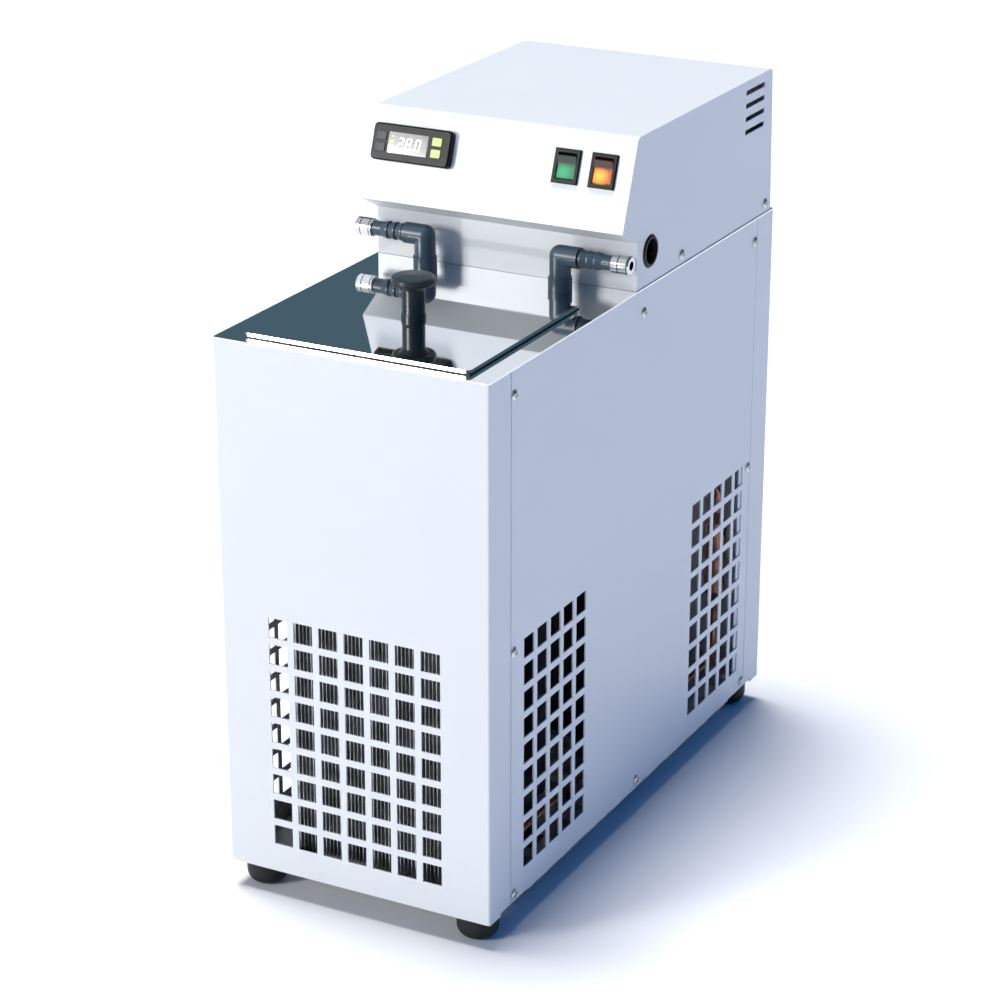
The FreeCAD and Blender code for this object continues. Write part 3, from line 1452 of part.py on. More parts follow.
def condenser_fan():
    body = new_body("fan_blades")
    hub = new_sketch(body, "FanHub", "XY_Plane")
    circle(hub, "0", "0", "fan_hub_radius")
    pad(body, hub, "fan_hub_length")
    sections = []
    for name, offset, chord, angle in (("BladeRoot", "fan_hub_radius - 2", "fan_blade_root", "fan_root_angle"),
                                       ("BladeTip", "fan_radius", "fan_blade_tip", "fan_tip_angle")):
        section = new_sketch(body, name, "YZ_Plane", offset)
        along = (f"{chord} / 2 * sin({angle})", f"{chord} / 2 * cos({angle})")
        thick = (f"fan_blade_gauge / 2 * cos({angle})", f"-fan_blade_gauge / 2 * sin({angle})")
        corners = []
        for first, second in ((1, 1), (1, -1), (-1, -1), (-1, 1)):
            corners.append((f"{first} * {along[0]} + {second} * {thick[0]}",
                            f"fan_hub_length / 2 + {first} * {along[1]} + {second} * ({thick[1]})"))
        polygon(section, corners)
        sections.append(section)
    blade = body.newObject("PartDesign::AdditiveLoft", "FanBlade")
    blade.Profile = sections[0]
    blade.Sections = [sections[1]]
    blade.Ruled = True
    ring_of(body, blade, hub, "fan_blades")
    bore = new_sketch(body, "FanBore", "XY_Plane")
    circle(bore, "0", "0", "shaft_radius")
    pocket(body, bore)
    node(place(body, ("0", "fan_y", "fan_z"), "+Y"), "fan_blades")
    shaft = rod("fan_shaft", "shaft_radius", "strap_y + fan_motor_length - 4 - fan_y", ("0", "fan_y", "fan_z"), "+Y")
    node(shaft, "fan_shaft")
    motor = turned_body("fan_motor", [
        ("shaft_radius + shaft_clearance", "0"),
        ("fan_motor_radius", "0"),
        ("fan_motor_radius", "fan_motor_length"),
        ("0", "fan_motor_length"),
        ("0", "fan_motor_length - 3"),
        ("shaft_radius + shaft_clearance", "fan_motor_length - 3"),
    ])
    fillet(motor, "motor_cap_round", lambda edge: near(edge.BoundBox.ZMin, "fan_motor_length")
           and near(edge.BoundBox.XMax, "fan_motor_radius"))
    node(place(motor, ("0", "strap_y", "fan_z"), "+Y"), "fan_motor")


def compressor():
    can = turned_body("CompressorCan", [
        ("0", "0"), ("compressor_radius", "0"), ("compressor_radius", "compressor_height"),
        ("0", "compressor_height"),
    ])
    fillet(can, "compressor_round", lambda edge: near(edge.BoundBox.XMax, "compressor_radius")
           and edge.BoundBox.ZLength < 0.01)
    place(can, ("compressor_x", "compressor_y", "compressor_low + compressor_plate_gauge - 2"))
    half = "compressor_plate / 2"
    plate = box("CompressorPlate", (f"compressor_x - {half}", f"compressor_x + {half}"),
                (f"compressor_y - {half}", f"compressor_y + {half}"),
                ("compressor_low", "compressor_low + compressor_plate_gauge"))
    node(fuse("compressor", can, plate), "compressor")
    rubber = rod("RubberMount", "rubber_radius", "rubber_height", ("0", "0", "0"))
    inset = f"{half} - rubber_inset"
    spots = [move(f"compressor_x + {a} * ({inset})", f"compressor_y + {b} * ({inset})", "pan_top")
             for a in ("1", "-1") for b in ("1", "-1")]
    node(copies("compressor_mounts", rubber, spots), "compressor_mounts")


def refrigerant_lines():
    top_row = "condenser_tube_low + (condenser_tube_rows - 1) * condenser_tube_pitch"
    wall = "condenser_right + sheet_gauge"
    discharge_z = "compressor_low + discharge_rise"
    over = "condenser_top + discharge_over"
    node(tube("discharge_line", [
        ("compressor_x", "compressor_front", discharge_z),
        ("compressor_x", "discharge_y", discharge_z),
        ("compressor_x", "discharge_y", over),
        ("line_x", "discharge_y", over),
        ("line_x", "condenser_tube_y", over),
        ("line_x", "condenser_tube_y", top_row),
        (wall, "condenser_tube_y", top_row),
    ], "line_bend", "line_radius"), "discharge_line")
    node(tube("liquid_line", [
        (wall, "condenser_tube_y", "condenser_tube_low"),
        ("line_x", "condenser_tube_y", "condenser_tube_low"),
        ("line_x", "drier_y", "condenser_tube_low"),
        ("line_x", "drier_y", "drier_low"),
    ], "line_bend", "line_radius"), "liquid_line")
    drier = turned_body("filter_drier", [
        ("0", "0"), ("line_radius", "0"), ("drier_radius", "drier_radius"),
        ("drier_radius", "drier_length - drier_radius"), ("coil_tube_radius", "drier_length"),
        ("0", "drier_length"),
    ])
    node(place(drier, ("line_x", "drier_y", "drier_low")), "filter_drier")


# Electrics
def circuit_board():
    half_x = "board_width / 2"
    half_y = "board_length / 2"
    top = "board_low + board_gauge"
    plate = box("BoardPlate", (f"board_x - {half_x}", f"board_x + {half_x}"),
                (f"board_y - {half_y}", f"board_y + {half_y}"), ("board_low", top))
    transformer = box("Transformer", ("board_x - transformer_size", "board_x"),
                      ("board_y - transformer_size / 2", "board_y + transformer_size / 2"),
                      (top, f"{top} + transformer_height"))
    relay = box("Relay", ("board_x + relay_x", "board_x + relay_x + relay_size"),
                ("board_y - relay_size / 2", "board_y + relay_size / 2"), (top, f"{top} + relay_size"))
    node(fuse("circuit_board", plate, transformer, relay), "circuit_board")
    post = rod("Standoff", "standoff_radius", "standoff_height", ("0", "0", "0"))
    spots = [move(f"board_x + {a} * ({half_x} - standoff_inset)", f"board_y + {b} * ({half_y} - standoff_inset)",
                  "deck_top") for a in ("1", "-1") for b in ("1", "-1")]
    node(copies("board_standoffs", post, spots), "board_standoffs")


def rear_fittings():
    gland = turned_body("cord_gland", [
        ("cord_bore_radius", "-cord_thread_length"),
        ("cord_thread_radius", "-cord_thread_length"),
        ("cord_thread_radius", "0"),
        ("cord_gland_radius", "0"),
        ("cord_gland_radius", "cord_gland_length * 0.55"),
        ("cord_gland_radius * 0.7", "cord_gland_length"),
        ("cord_bore_radius", "cord_gland_length"),
    ])
    node(place(gland, ("cord_x", "recess_floor", "cord_z"), "+Y"), "cord_gland")
    fuse_holder = turned_body("fuse_holder", [
        ("0", "-fuse_body_length"), ("fuse_body_radius", "-fuse_body_length"), ("fuse_body_radius", "0"),
        ("fuse_cap_radius", "0"), ("fuse_cap_radius", "fuse_cap_length - 1"),
        ("fuse_cap_radius - 1", "fuse_cap_length"), ("0", "fuse_cap_length"),
    ])
    node(place(fuse_holder, ("fuse_x", "recess_floor", "cord_z"), "+Y"), "fuse_holder")


def build():
    fill_sheets()
    front_panel()
    rear_panel()
    side_panel("right_side_panel", 1)
    side_panel("left_side_panel", -1)
    base_pan()
    feet()
    panel_screws()
    deck_plate()
    bath_tank()
    lid()
    lid_knob()
    head_cover()
    side_grommet()
    node(bundle("head_rails", [head_rail("LeftRail", -1), head_rail("RightRail", 1)]), "head_rails")
    controller()
    rocker_switch("power_switch", "switch_left_x")
    rocker_switch("cooling_switch", "switch_right_x")
    nozzle_bases()
    elbows()
    hose_nozzles()
    pump()
    temperature_probe()
    cooling_coil()
    condenser()
    fan_baffle()
    condenser_fan()
    compressor()
    refrigerant_lines()
    circuit_board()
    rear_fittings()
    doc.recompute()


# Checks and export
def check():
    faults = []
    for thing in doc.Objects:
        if "Invalid" in thing.State or "Error" in thing.State:
            faults.append(f"{thing.Label} failed: {thing.State}")
        elif thing.isDerivedFrom("PartDesign::Pocket") and not thing.Shape.Volume < thing.BaseFeature.Shape.Volume:
            faults.append(f"{thing.Label} of {thing.Profile[0].Label} cuts nothing")
    for thing in nodes:
        if thing.Shape.isNull() or not thing.Shape.isValid():
            faults.append(f"{thing.Label} has no valid shape")
        elif not thing.Shape.Solids:
            faults.append(f"{thing.Label} has no solid")
    if faults:
        raise RuntimeError("\n".join(faults))


def export():
    os.makedirs("parts", exist_ok=True)
    for thing in nodes:
        thing.Shape.exportStep(f"parts/{thing.Label}.step")


build()
check()
export()
print(len(nodes), "nodes")
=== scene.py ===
import math

import bmesh
import bpy
from mathutils import Matrix, Vector


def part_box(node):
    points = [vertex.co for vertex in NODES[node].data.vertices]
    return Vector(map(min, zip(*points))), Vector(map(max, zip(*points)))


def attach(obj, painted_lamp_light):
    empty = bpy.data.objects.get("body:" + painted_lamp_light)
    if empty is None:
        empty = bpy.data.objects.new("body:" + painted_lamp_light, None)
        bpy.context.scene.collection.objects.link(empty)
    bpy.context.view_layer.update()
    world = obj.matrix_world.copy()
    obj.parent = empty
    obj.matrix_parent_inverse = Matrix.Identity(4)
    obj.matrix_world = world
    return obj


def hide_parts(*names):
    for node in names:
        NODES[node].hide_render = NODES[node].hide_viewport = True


bl_info = {
    "name": "Refrigerated Water Bath",
    "version": (1, 0, 0),
    "blender": (4, 5, 0),
    "location": "3D View > Sidebar > Water Bath",
    "description": "Dresses the packed model of a refrigerated water bath",
    "category": "Object",
}

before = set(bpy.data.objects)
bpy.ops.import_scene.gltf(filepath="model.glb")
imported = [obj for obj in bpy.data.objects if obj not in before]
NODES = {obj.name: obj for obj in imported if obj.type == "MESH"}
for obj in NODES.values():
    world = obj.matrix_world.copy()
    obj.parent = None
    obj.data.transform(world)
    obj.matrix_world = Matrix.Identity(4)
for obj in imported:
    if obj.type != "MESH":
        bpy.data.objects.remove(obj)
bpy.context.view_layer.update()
MM = 0.001

# Vertices nearer than this are merged
WELD = 0.01 * MM
# A face whose normal has a part larger than this is flat sheet, and the rest is rounded folds
FLAT = 0.999

# Each vented panel: the axis that its columns follow, the middle of each field's first column, and
# how many columns a field has
SIDE_FIELDS = (-211.0 * MM, 121.0 * MM)
GRILLES = (
    ("front_panel", 0, (-72.0 * MM,), 7),
    ("right_side_panel", 1, SIDE_FIELDS, 5),
    ("left_side_panel", 1, SIDE_FIELDS, 5),
)

# How far the CAD's panel screws stand out, and a head's outline as shares of its radius and height
SCREW_PROUD = 2.2 * MM
SCREW_DOME = ((1.0, 0.0), (1.0, 0.3), (0.9, 0.55), (0.62, 0.88), (0.16, 1.0), (0.0, 1.0))

# The display's window, and the number on it: the bars of each digit, where each digit stands, the
# corners of the decimal point, and how far the whole lies from the window's middle
WINDOW_DEPTH = 1.4 * MM
SEGMENTS = {"0": "abcdef", "2": "abged", "8": "abcdefg"}
DIGITS = ((-8.2 * MM, "2"), (-0.6 * MM, "8"), (8.4 * MM, "0"))
DIGIT_LEAN = 0.12
DECIMAL_POINT = ((2.7 * MM, -5.1 * MM, 0.0), (4.0 * MM, -3.8 * MM, 0.06 * MM))
NUMBER_SHIFT = (1.3 * MM, -0.2 * MM, 0.0)
MARK_DEPTH = 0.05 * MM
LAMP_DOME = 0.09 * MM
# Each indicator: its place across and up from the window's middle, and its radius
INDICATORS = (
    (-15.6 * MM, 1.0 * MM, 1.1 * MM),
    (-15.6 * MM, -4.6 * MM, 0.7 * MM),
    (-15.6 * MM, 5.6 * MM, 0.7 * MM),
)

# Each lighted rocker: its plastic, its glow and the glow's strength. The lamp lies below and to the
# left of the rocker's middle.
ROCKERS = (
    ("power_switch_rocker", (0.02, 0.28, 0.12), (0.03, 0.50, 0.18), 0.45),
    ("cooling_switch_rocker", (0.75, 0.07, 0.02), (1.0, 0.42, 0.02), 2.0),
)
ROCKER_LAMP = Vector((-2.5, 0.0, -4.0)) * MM

# Colours of the smaller parts, of those inside and of the floor
BLACK = (0.0, 0.0, 0.0)
WHITE = (1.0, 1.0, 1.0)
GALVANISED = (0.55, 0.57, 0.58)
BLACK_PAINT = (0.012, 0.012, 0.014)
BLACK_RUBBER = (0.006, 0.008, 0.0085)
ZINC = (0.7, 0.71, 0.72)
SCREW_ZINC = (0.62, 0.64, 0.66)
BEZEL_BLACK = (0.004, 0.005, 0.0055)
TANK_STEEL = (0.66, 0.67, 0.68)
FOAM = (0.82, 0.76, 0.58)
PUMP_WHITE = (0.7, 0.7, 0.67)
MOTOR_GREY = (0.16, 0.17, 0.18)
BOARD_GREEN = (0.03, 0.2, 0.09)
FIN_METAL = (0.62, 0.64, 0.65)
DULL_COPPER = (0.34, 0.17, 0.11)
NOZZLE_CHROME = (0.66, 0.68, 0.70)
SMOKED_GLASS = (0.01, 0.011, 0.013)
LIME = (0.34, 0.45, 0.05)
KEY_GREY = (0.03, 0.032, 0.034)
DIGIT_LIGHT = (0.80, 0.88, 1.0)
LIME_LIGHT = (0.55, 0.85, 0.12)
FLOOR_GREY = (0.72, 0.72, 0.72)

# The studio, with its places and lengths in metres
FLOOR_REACH = 15.0
CLIP_END = 50.0
KEY_PLACE = (-2.6, -4.1, 1.8)
KEY_AIM = (0.0, -0.1, 0.4)
KEY_SIZE = 1.2
KEY_COLOUR = (1.0, 0.995, 0.98)
OVERHEAD_PLACE = (-0.35, 0.1, 2.0)
OVERHEAD_AIM = (0.0, 0.0, 0.0)
OVERHEAD_ANGLE = math.radians(25)
# Where the sky's light turns to shade towards the right, where the shade ends overhead, where the
# flag's round edge lies, and how far up the flag hangs
SHADE_EDGE = (-0.2, 0.3)
SHADE_TOP = (0.8, 0.95)
FLAG_EDGE = (0.90, 0.93)
FLAG_RISE = 0.42


# Nodes of a material, written as expressions
class Value:
    """A socket's output that can stand in a sum as a number does."""

    def __init__(self, finish, socket):
        self.finish = finish
        self.socket = socket

    def _maths(self, operation, *terms):
        return self.finish.add("ShaderNodeMath", {"operation": operation}, *terms)

    def __add__(self, other):
        return self._maths("ADD", self, other)

    def __radd__(self, other):
        return self._maths("ADD", other, self)

    def __rsub__(self, other):
        return self._maths("SUBTRACT", other, self)

    def __mul__(self, other):
        return self._maths("MULTIPLY", self, other)

    def __rmul__(self, other):
        return self._maths("MULTIPLY", other, self)

    def above(self, level):
        return self._maths("GREATER_THAN", self, level)

    def sine(self):
        return self._maths("SINE", self)


class Nodes:
    """A node tree that is built up by calls."""

    def __init__(self, tree):
        self.tree = tree

    def add(self, kind, settings, *inputs, output=0, **named):
        """A node with its settings made first, then its inputs by order or by name."""
        node = self.tree.nodes.new(kind)
        for key, value in settings.items():
            setattr(node, key, value)
        pairs = list(zip(node.inputs, inputs))
        pairs += [(node.inputs[key.replace("_", " ")], value) for key, value in named.items()]
        for socket, value in pairs:
            if isinstance(value, Value):
                self.tree.links.new(value.socket, socket)
            elif value is not None:
                socket.default_value = value
        return Value(self, node.outputs[output])

    def axis(self, letter, way):
        """One part of a vector."""
        return self.add("ShaderNodeSeparateXYZ", {}, way, output=letter)

    def ramp(self, factor, low, high):
        """0 below low, 1 above high, and even between."""
        return self.add("ShaderNodeMapRange", {"clamp": True}, Value=factor, From_Min=low, From_Max=high)

    def blend(self, factor, first, second):
        """The first colour where the factor is 0, and the second where it is 1."""
        ends = [end if isinstance(end, Value) else (*end, 1.0) for end in (first, second)]
        # Five sockets for vectors and numbers stand between the factor and the colours
        skipped = [None] * 5
        return self.add("ShaderNodeMix", {"data_type": "RGBA"}, factor, *skipped, *ends, output=2)


class Finish(Nodes):
    """A material: one Principled shader and the nodes that vary it."""

    def __init__(self, name, colour, roughness, metallic=0.0, coat=0.0, specular=0.5):
        self.material = bpy.data.materials.new(name)
        self.material.use_nodes = True
        super().__init__(self.material.node_tree)
        self.shader = self.tree.nodes["Principled BSDF"]
        self.material.diffuse_color = (*colour, 1.0)
        self.set("Base Color", (*colour, 1.0))
        self.set("Roughness", roughness)
        self.set("Metallic", metallic)
        self.set("Coat Weight", coat)
        self.set("Specular IOR Level", specular)
        self._place = None

    def set(self, socket, value):
        """A constant goes on the shader's socket, and a Value is linked to it."""
        target = self.shader.inputs[socket]
        if isinstance(value, Value):
            self.tree.links.new(value.socket, target)
        else:
            target.default_value = value

    @property
    def place(self):
        """Where a point of the surface lies, in metres."""
        if self._place is None:
            self._place = self.add("ShaderNodeTexCoord", {}, output="Object")
        return self._place

    def stretched(self, scale):
        """The place with each axis on a scale of its own, for grain that runs one way."""
        return self.add("ShaderNodeMapping", {}, Vector=self.place, Scale=scale)

    def noise(self, scale, detail=3.0, at=None):
        """Cloudy noise from 0 to 1 with about this many clouds to a metre."""
        return self.add("ShaderNodeTexNoise", {}, Vector=at or self.place, Scale=scale, Detail=detail)

    def cells(self, scale, output="Distance"):
        """Random cells, about this many to a metre."""
        return self.add("ShaderNodeTexVoronoi", {}, Vector=self.place, Scale=scale, output=output)

    def stripes(self, turns, level):
        """1 where a wave along X, of so many radians to a metre, is above a level, and 0 elsewhere."""
        return (self.axis("X", self.place) * turns).sine().above(level)

    def bump(self, height, strength, distance):
        bump = self.add("ShaderNodeBump", {}, Height=height, Strength=strength, Distance=distance)
        self.set("Normal", bump)

    def glow(self, colour, strength):
        self.set("Emission Color", colour)
        self.set("Emission Strength", strength)


def tint(colour, factor):
    """A colour made darker or lighter."""
    return tuple(min(1.0, channel * factor) for channel in colour)


# Finishes
def powder_coat(colour):
    finish = Finish("powder_coat", colour, roughness=0.34, coat=0.15)
    cloud = finish.noise(7.0, detail=2.0)
    finish.set("Base Color", finish.blend(cloud, tint(colour, 0.975), tint(colour, 1.02)))
    finish.set("Roughness", 0.30 + 0.10 * finish.noise(60.0))
    finish.bump(finish.noise(1100.0, detail=2.0), strength=0.06, distance=0.4 * MM)
    return finish.material


def mirror_steel(colour):
    finish = Finish("mirror_steel", colour, roughness=0.03, metallic=1.0)
    grain = finish.noise(1.0, detail=4.0, at=finish.stretched((9.0, 900.0, 900.0)))
    smear = finish.ramp(finish.noise(11.0, detail=4.0), 0.45, 0.8)
    finish.set("Roughness", 0.018 + 0.022 * grain + 0.035 * smear)
    finish.set("Base Color", finish.blend(smear, colour, tint(colour, 0.96)))
    finish.bump(finish.noise(5.0, detail=1.0) + 0.004 * grain, strength=0.05, distance=2.0 * MM)
    return finish.material


def drawn_steel(colour):
    finish = Finish("drawn_steel", colour, roughness=0.28, metallic=1.0)
    grain = finish.noise(1.0, detail=4.0, at=finish.stretched((40.0, 40.0, 1400.0)))
    finish.set("Roughness", 0.2 + 0.2 * grain)
    finish.set("Base Color", finish.blend(grain, tint(colour, 0.9), tint(colour, 1.05)))
    finish.bump(grain, strength=0.08, distance=0.3 * MM)
    return finish.material


def galvanised_sheet(colour):
    finish = Finish("galvanised_sheet", colour, roughness=0.42, metallic=0.9)
    spangle = finish.axis("X", finish.cells(70.0, output="Color"))
    finish.set("Base Color", finish.blend(spangle, tint(colour, 0.72), tint(colour, 1.18)))
    finish.set("Roughness", 0.3 + 0.25 * spangle)
    finish.bump(spangle, strength=0.05, distance=0.3 * MM)
    return finish.material


def chrome_with_painted_groove_shade(colour):
    """Bright plating with painted shade in dark rings across X, standing for the shaded grooves round the
    nozzles' tips.
    """
    finish = Finish("bright_plate", colour, roughness=0.08, metallic=1.0)
    # Painted shade: the base colour is darkened in rings across X, as shade in grooves
    painted_groove_shade = finish.stripes(math.tau / (8.5 * MM), 0.9)
    finish.set("Base Color", finish.blend(painted_groove_shade, colour, tint(colour, 0.3)))
    haze = finish.ramp(finish.noise(90.0), 0.4, 0.8)
    finish.set("Roughness", 0.05 + 0.12 * haze)
    return finish.material


def zinc_plate(colour):
    finish = Finish("zinc_plate", colour, roughness=0.3, metallic=1.0)
    mottle = finish.noise(240.0)
    finish.set("Base Color", finish.blend(mottle, tint(colour, 0.78), tint(colour, 1.1)))
    finish.set("Roughness", 0.22 + 0.2 * mottle)
    return finish.material


def fin_stock(colour):
    finish = Finish("fin_stock", colour, roughness=0.35, metallic=1.0)
    ripple = finish.noise(1.0, at=finish.stretched((30.0, 30.0, 420.0)))
    dust = finish.ramp(finish.noise(38.0, detail=4.0), 0.42, 0.75)
    finish.set("Base Color", finish.blend(dust, colour, tint(colour, 0.6)))
    finish.set("Roughness", 0.28 + 0.25 * ripple)
    finish.bump(ripple, strength=0.25, distance=0.6 * MM)
    return finish.material


def copper_tube(colour):
    finish = Finish("copper_tube", colour, roughness=0.25, metallic=1.0)
    tarnish = finish.ramp(finish.noise(45.0, detail=4.0), 0.4, 0.75)
    finish.set("Base Color", finish.blend(tarnish, colour, tint(colour, 0.45)))
    finish.set("Roughness", 0.25 + 0.3 * tarnish)
    return finish.material


def moulded(name, colour, roughness=0.38, grain=0.05, gloss=0.5):
    """Plain moulded plastic with a fine grain and slightly uneven gloss."""
    finish = Finish(name, colour, roughness, specular=gloss)
    cloud = finish.noise(55.0)
    finish.set("Base Color", finish.blend(cloud, tint(colour, 0.86), tint(colour, 1.14)))
    finish.set("Roughness", (roughness - 0.06) + 0.12 * finish.noise(130.0))
    finish.bump(finish.noise(1500.0, detail=2.0), strength=grain, distance=0.3 * MM)
    return finish.material


def rubber(colour):
    finish = Finish("black_rubber", colour, roughness=0.6, specular=0.3)
    bloom = finish.ramp(finish.noise(70.0, detail=4.0), 0.45, 0.8)
    finish.set("Base Color", finish.blend(bloom, colour, tint(colour, 2.2)))
    finish.set("Roughness", 0.5 + 0.25 * bloom)
    finish.bump(finish.noise(900.0, detail=2.0), strength=0.1, distance=0.3 * MM)
    return finish.material


def enamel(name, colour):
    finish = Finish(name, colour, roughness=0.2, coat=0.4)
    finish.set("Roughness", 0.15 + 0.15 * finish.noise(30.0))
    finish.bump(finish.noise(220.0, detail=2.0), strength=0.08, distance=0.4 * MM)
    return finish.material


def rigid_foam(colour):
    finish = Finish("rigid_foam", colour, roughness=0.85)
    pores = finish.cells(420.0)
    finish.set("Base Color", finish.blend(finish.noise(25.0), tint(colour, 0.85), colour))
    finish.bump(pores, strength=0.4, distance=1.0 * MM)
    return finish.material


def lacquered_board(colour):
    finish = Finish("lacquered_board", colour, roughness=0.3, coat=0.3)
    track = finish.stripes(1200.0, 0.6)
    finish.set("Base Color", finish.blend(track, colour, tint(colour, 1.9)))
    return finish.material


def lit_plastic(name, colour, glow, strength, heart):
    """Tinted switch plastic that glows round its heart, a point in metres. Its base colour carries painted
    lamp light, lighter near the heart, and painted shade, nearly black well above it.
    """
    finish = Finish(name, colour, roughness=0.22, coat=0.3)
    away = finish.add("ShaderNodeVectorMath", {"operation": "DISTANCE"}, finish.place, tuple(heart),
                      output="Value")
    near = 1.0 - finish.ramp(away, 1.5 * MM, 9.5 * MM)
    # Painted shade: well above the lamp the base colour turns nearly black, and the glow goes out there
    painted_shade_above = finish.ramp(finish.axis("Z", finish.place), heart.z + 6.0 * MM, heart.z + 9.0 * MM)
    # Painted lamp light: the base colour is lighter near the lamp and darker away from it
    painted_lamp_light = finish.blend(near, tint(colour, 0.6), colour)
    finish.set("Base Color", finish.blend(painted_shade_above, painted_lamp_light, tint(colour, 0.05)))
    light = finish.blend(near, tint(glow, 0.1), glow)
    finish.glow(finish.blend(painted_shade_above, light, BLACK), strength)
    return finish.material


def lamp(name, colour, strength):
    """A small lit mark: a digit's segment or an indicator."""
    finish = Finish(name, colour, roughness=0.4)
    speck = finish.noise(1500.0, detail=2.0)
    finish.glow(finish.blend(speck, tint(colour, 0.8), colour), strength)
    return finish.material


def smoked_window(colour):
    finish = Finish("smoked_window", colour, roughness=0.12, coat=0.5)
    finish.set("Roughness", 0.08 + 0.08 * finish.noise(90.0))
    return finish.material


def pale_floor(colour):
    finish = Finish("pale_floor", colour, roughness=0.8, specular=0.0)
    cloud = finish.noise(2.0, detail=2.0)
    finish.set("Base Color", finish.blend(cloud, tint(colour, 0.99), colour))
    return finish.material


# Help for pieces
def clothe(material, *names):
    """Gives CAD nodes a finish."""
    for name in names:
        for slot in NODES[name].material_slots:
            slot.material = material


def keep(mesh, name, material, painted_lamp_light, replaced=(), smooth=None):
    """Makes a bmesh a finished piece that rides on a body, smooth below an angle in degrees."""
    bmesh.ops.recalc_face_normals(mesh, faces=mesh.faces)
    data = bpy.data.meshes.new(name)
    mesh.to_mesh(data)
    mesh.free()
    piece = bpy.data.objects.new(name, data)
    bpy.context.scene.collection.objects.link(piece)
    data.materials.append(material)
    if smooth is not None:
        data.shade_smooth()
        data.set_sharp_from_angle(angle=math.radians(smooth))
    if replaced:
        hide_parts(*replaced)
    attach(piece, painted_lamp_light)


def add_to(mesh, part):
    """Joins one bmesh to another and frees it."""
    data = bpy.data.meshes.new("part")
    part.to_mesh(data)
    part.free()
    mesh.from_mesh(data)
    bpy.data.meshes.remove(data)


def move(mesh, matrix):
    bmesh.ops.transform(mesh, matrix=matrix, verts=mesh.verts)
    return mesh


def block(low, high):
    """A box between two corners."""
    mesh = bmesh.new()
    bmesh.ops.create_cube(mesh, size=1.0)
    low, high = Vector(low), Vector(high)
    bmesh.ops.scale(mesh, vec=high - low, verts=mesh.verts)
    bmesh.ops.translate(mesh, vec=(low + high) / 2, verts=mesh.verts)
    return mesh


def turned(profile, steps):
    """A solid of revolution about Z from radius and height pairs."""
    mesh = bmesh.new()
    verts = [mesh.verts.new((radius, 0, height)) for radius, height in profile]
    for first, second in zip(verts, verts[1:]):
        mesh.edges.new((first, second))
    bmesh.ops.spin(mesh, geom=mesh.verts[:] + mesh.edges[:], cent=(0, 0, 0), axis=(0, 0, 1),
                   angle=math.tau, steps=steps, use_merge=True)
    bmesh.ops.remove_doubles(mesh, verts=mesh.verts, dist=WELD)
    return mesh


def screw_head(radius):
    """A low-domed head along Z with a cross of four wedge-shaped slots sunk into it."""
    height = 0.48 * radius
    sectors = 24
    mesh = turned([(across * radius, up * height) for across, up in SCREW_DOME], sectors)
    hub, reach, depth = 0.15 * radius, 0.5 * radius, 0.3 * radius
    arm = math.pi / sectors * 1.2
    cross = []
    for face in mesh.faces:
        middle = face.calc_center_median()
        distance = math.hypot(middle.x, middle.y)
        turn = (math.atan2(middle.y, middle.x) + math.pi / 4) % (math.pi / 2) - math.pi / 4
        if distance < hub or (distance < reach and abs(turn) < arm):
            cross.append(face)
    pit = bmesh.ops.extrude_face_region(mesh, geom=cross)["geom"]
    bmesh.ops.delete(mesh, geom=cross, context="FACES_ONLY")
    sunk = [item for item in pit if isinstance(item, bmesh.types.BMVert)]
    bmesh.ops.translate(mesh, vec=(0, 0, -depth), verts=sunk)
    return mesh


def screw_spots():
    """Where each screw's head seats, read from the CAD node's loose parts, and the side it faces."""
    mesh = bmesh.new()
    mesh.from_mesh(NODES["panel_screws"].data)
    bmesh.ops.remove_doubles(mesh, verts=mesh.verts, dist=WELD)
    met = set()
    spots = []
    for start in mesh.verts:
        if start in met:
            continue
        met.add(start)
        screw = [start]
        for vert in screw:
            for edge in vert.link_edges:
                other = edge.other_vert(vert)
                if other not in met:
                    met.add(other)
                    screw.append(other)
        low = [min(vert.co[axis] for vert in screw) for axis in range(3)]
        high = [max(vert.co[axis] for vert in screw) for axis in range(3)]
        side = 1 if high[0] > 0 else -1
        outer = high[0] if side > 0 else low[0]
        seat = Vector((outer - side * SCREW_PROUD, (low[1] + high[1]) / 2, (low[2] + high[2]) / 2))
        spots.append((seat, side))
    mesh.free()
    return spots


def cut_holes(name, cutter):
    """A merged copy of a CAD panel with a cutter's blocks taken out of it."""
    sheet = bmesh.new()
    sheet.from_mesh(NODES[name].data)
    bmesh.ops.remove_doubles(sheet, verts=sheet.verts, dist=WELD)
    pair = []
    for mesh in (sheet, cutter):
        data = bpy.data.meshes.new("part")
        mesh.to_mesh(data)
        mesh.free()
        pair.append(bpy.data.objects.new("part", data))
        bpy.context.scene.collection.objects.link(pair[-1])
    holes = pair[0].modifiers.new("holes", "BOOLEAN")
    holes.operation = "DIFFERENCE"
    holes.solver = "EXACT"
    holes.object = pair[1]
    bpy.context.view_layer.update()
    panel = bmesh.new()
    panel.from_object(pair[0], bpy.context.evaluated_depsgraph_get())
    for part in pair:
        data = part.data
        bpy.data.objects.remove(part)
        bpy.data.meshes.remove(data)
    return panel


def window_place():
    """The middle of the display window's face: X across, Y up the panel's slope, Z out of it."""
    turn = Matrix.Rotation(math.pi / 2 - bpy.context.scene.bath_sizes.panel_lean, 4, "X")
    low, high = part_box("display_window")
    middle = (Vector(low) + Vector(high)) / 2
    return Matrix.Translation(middle) @ turn @ Matrix.Translation((0, 0, WINDOW_DEPTH / 2))


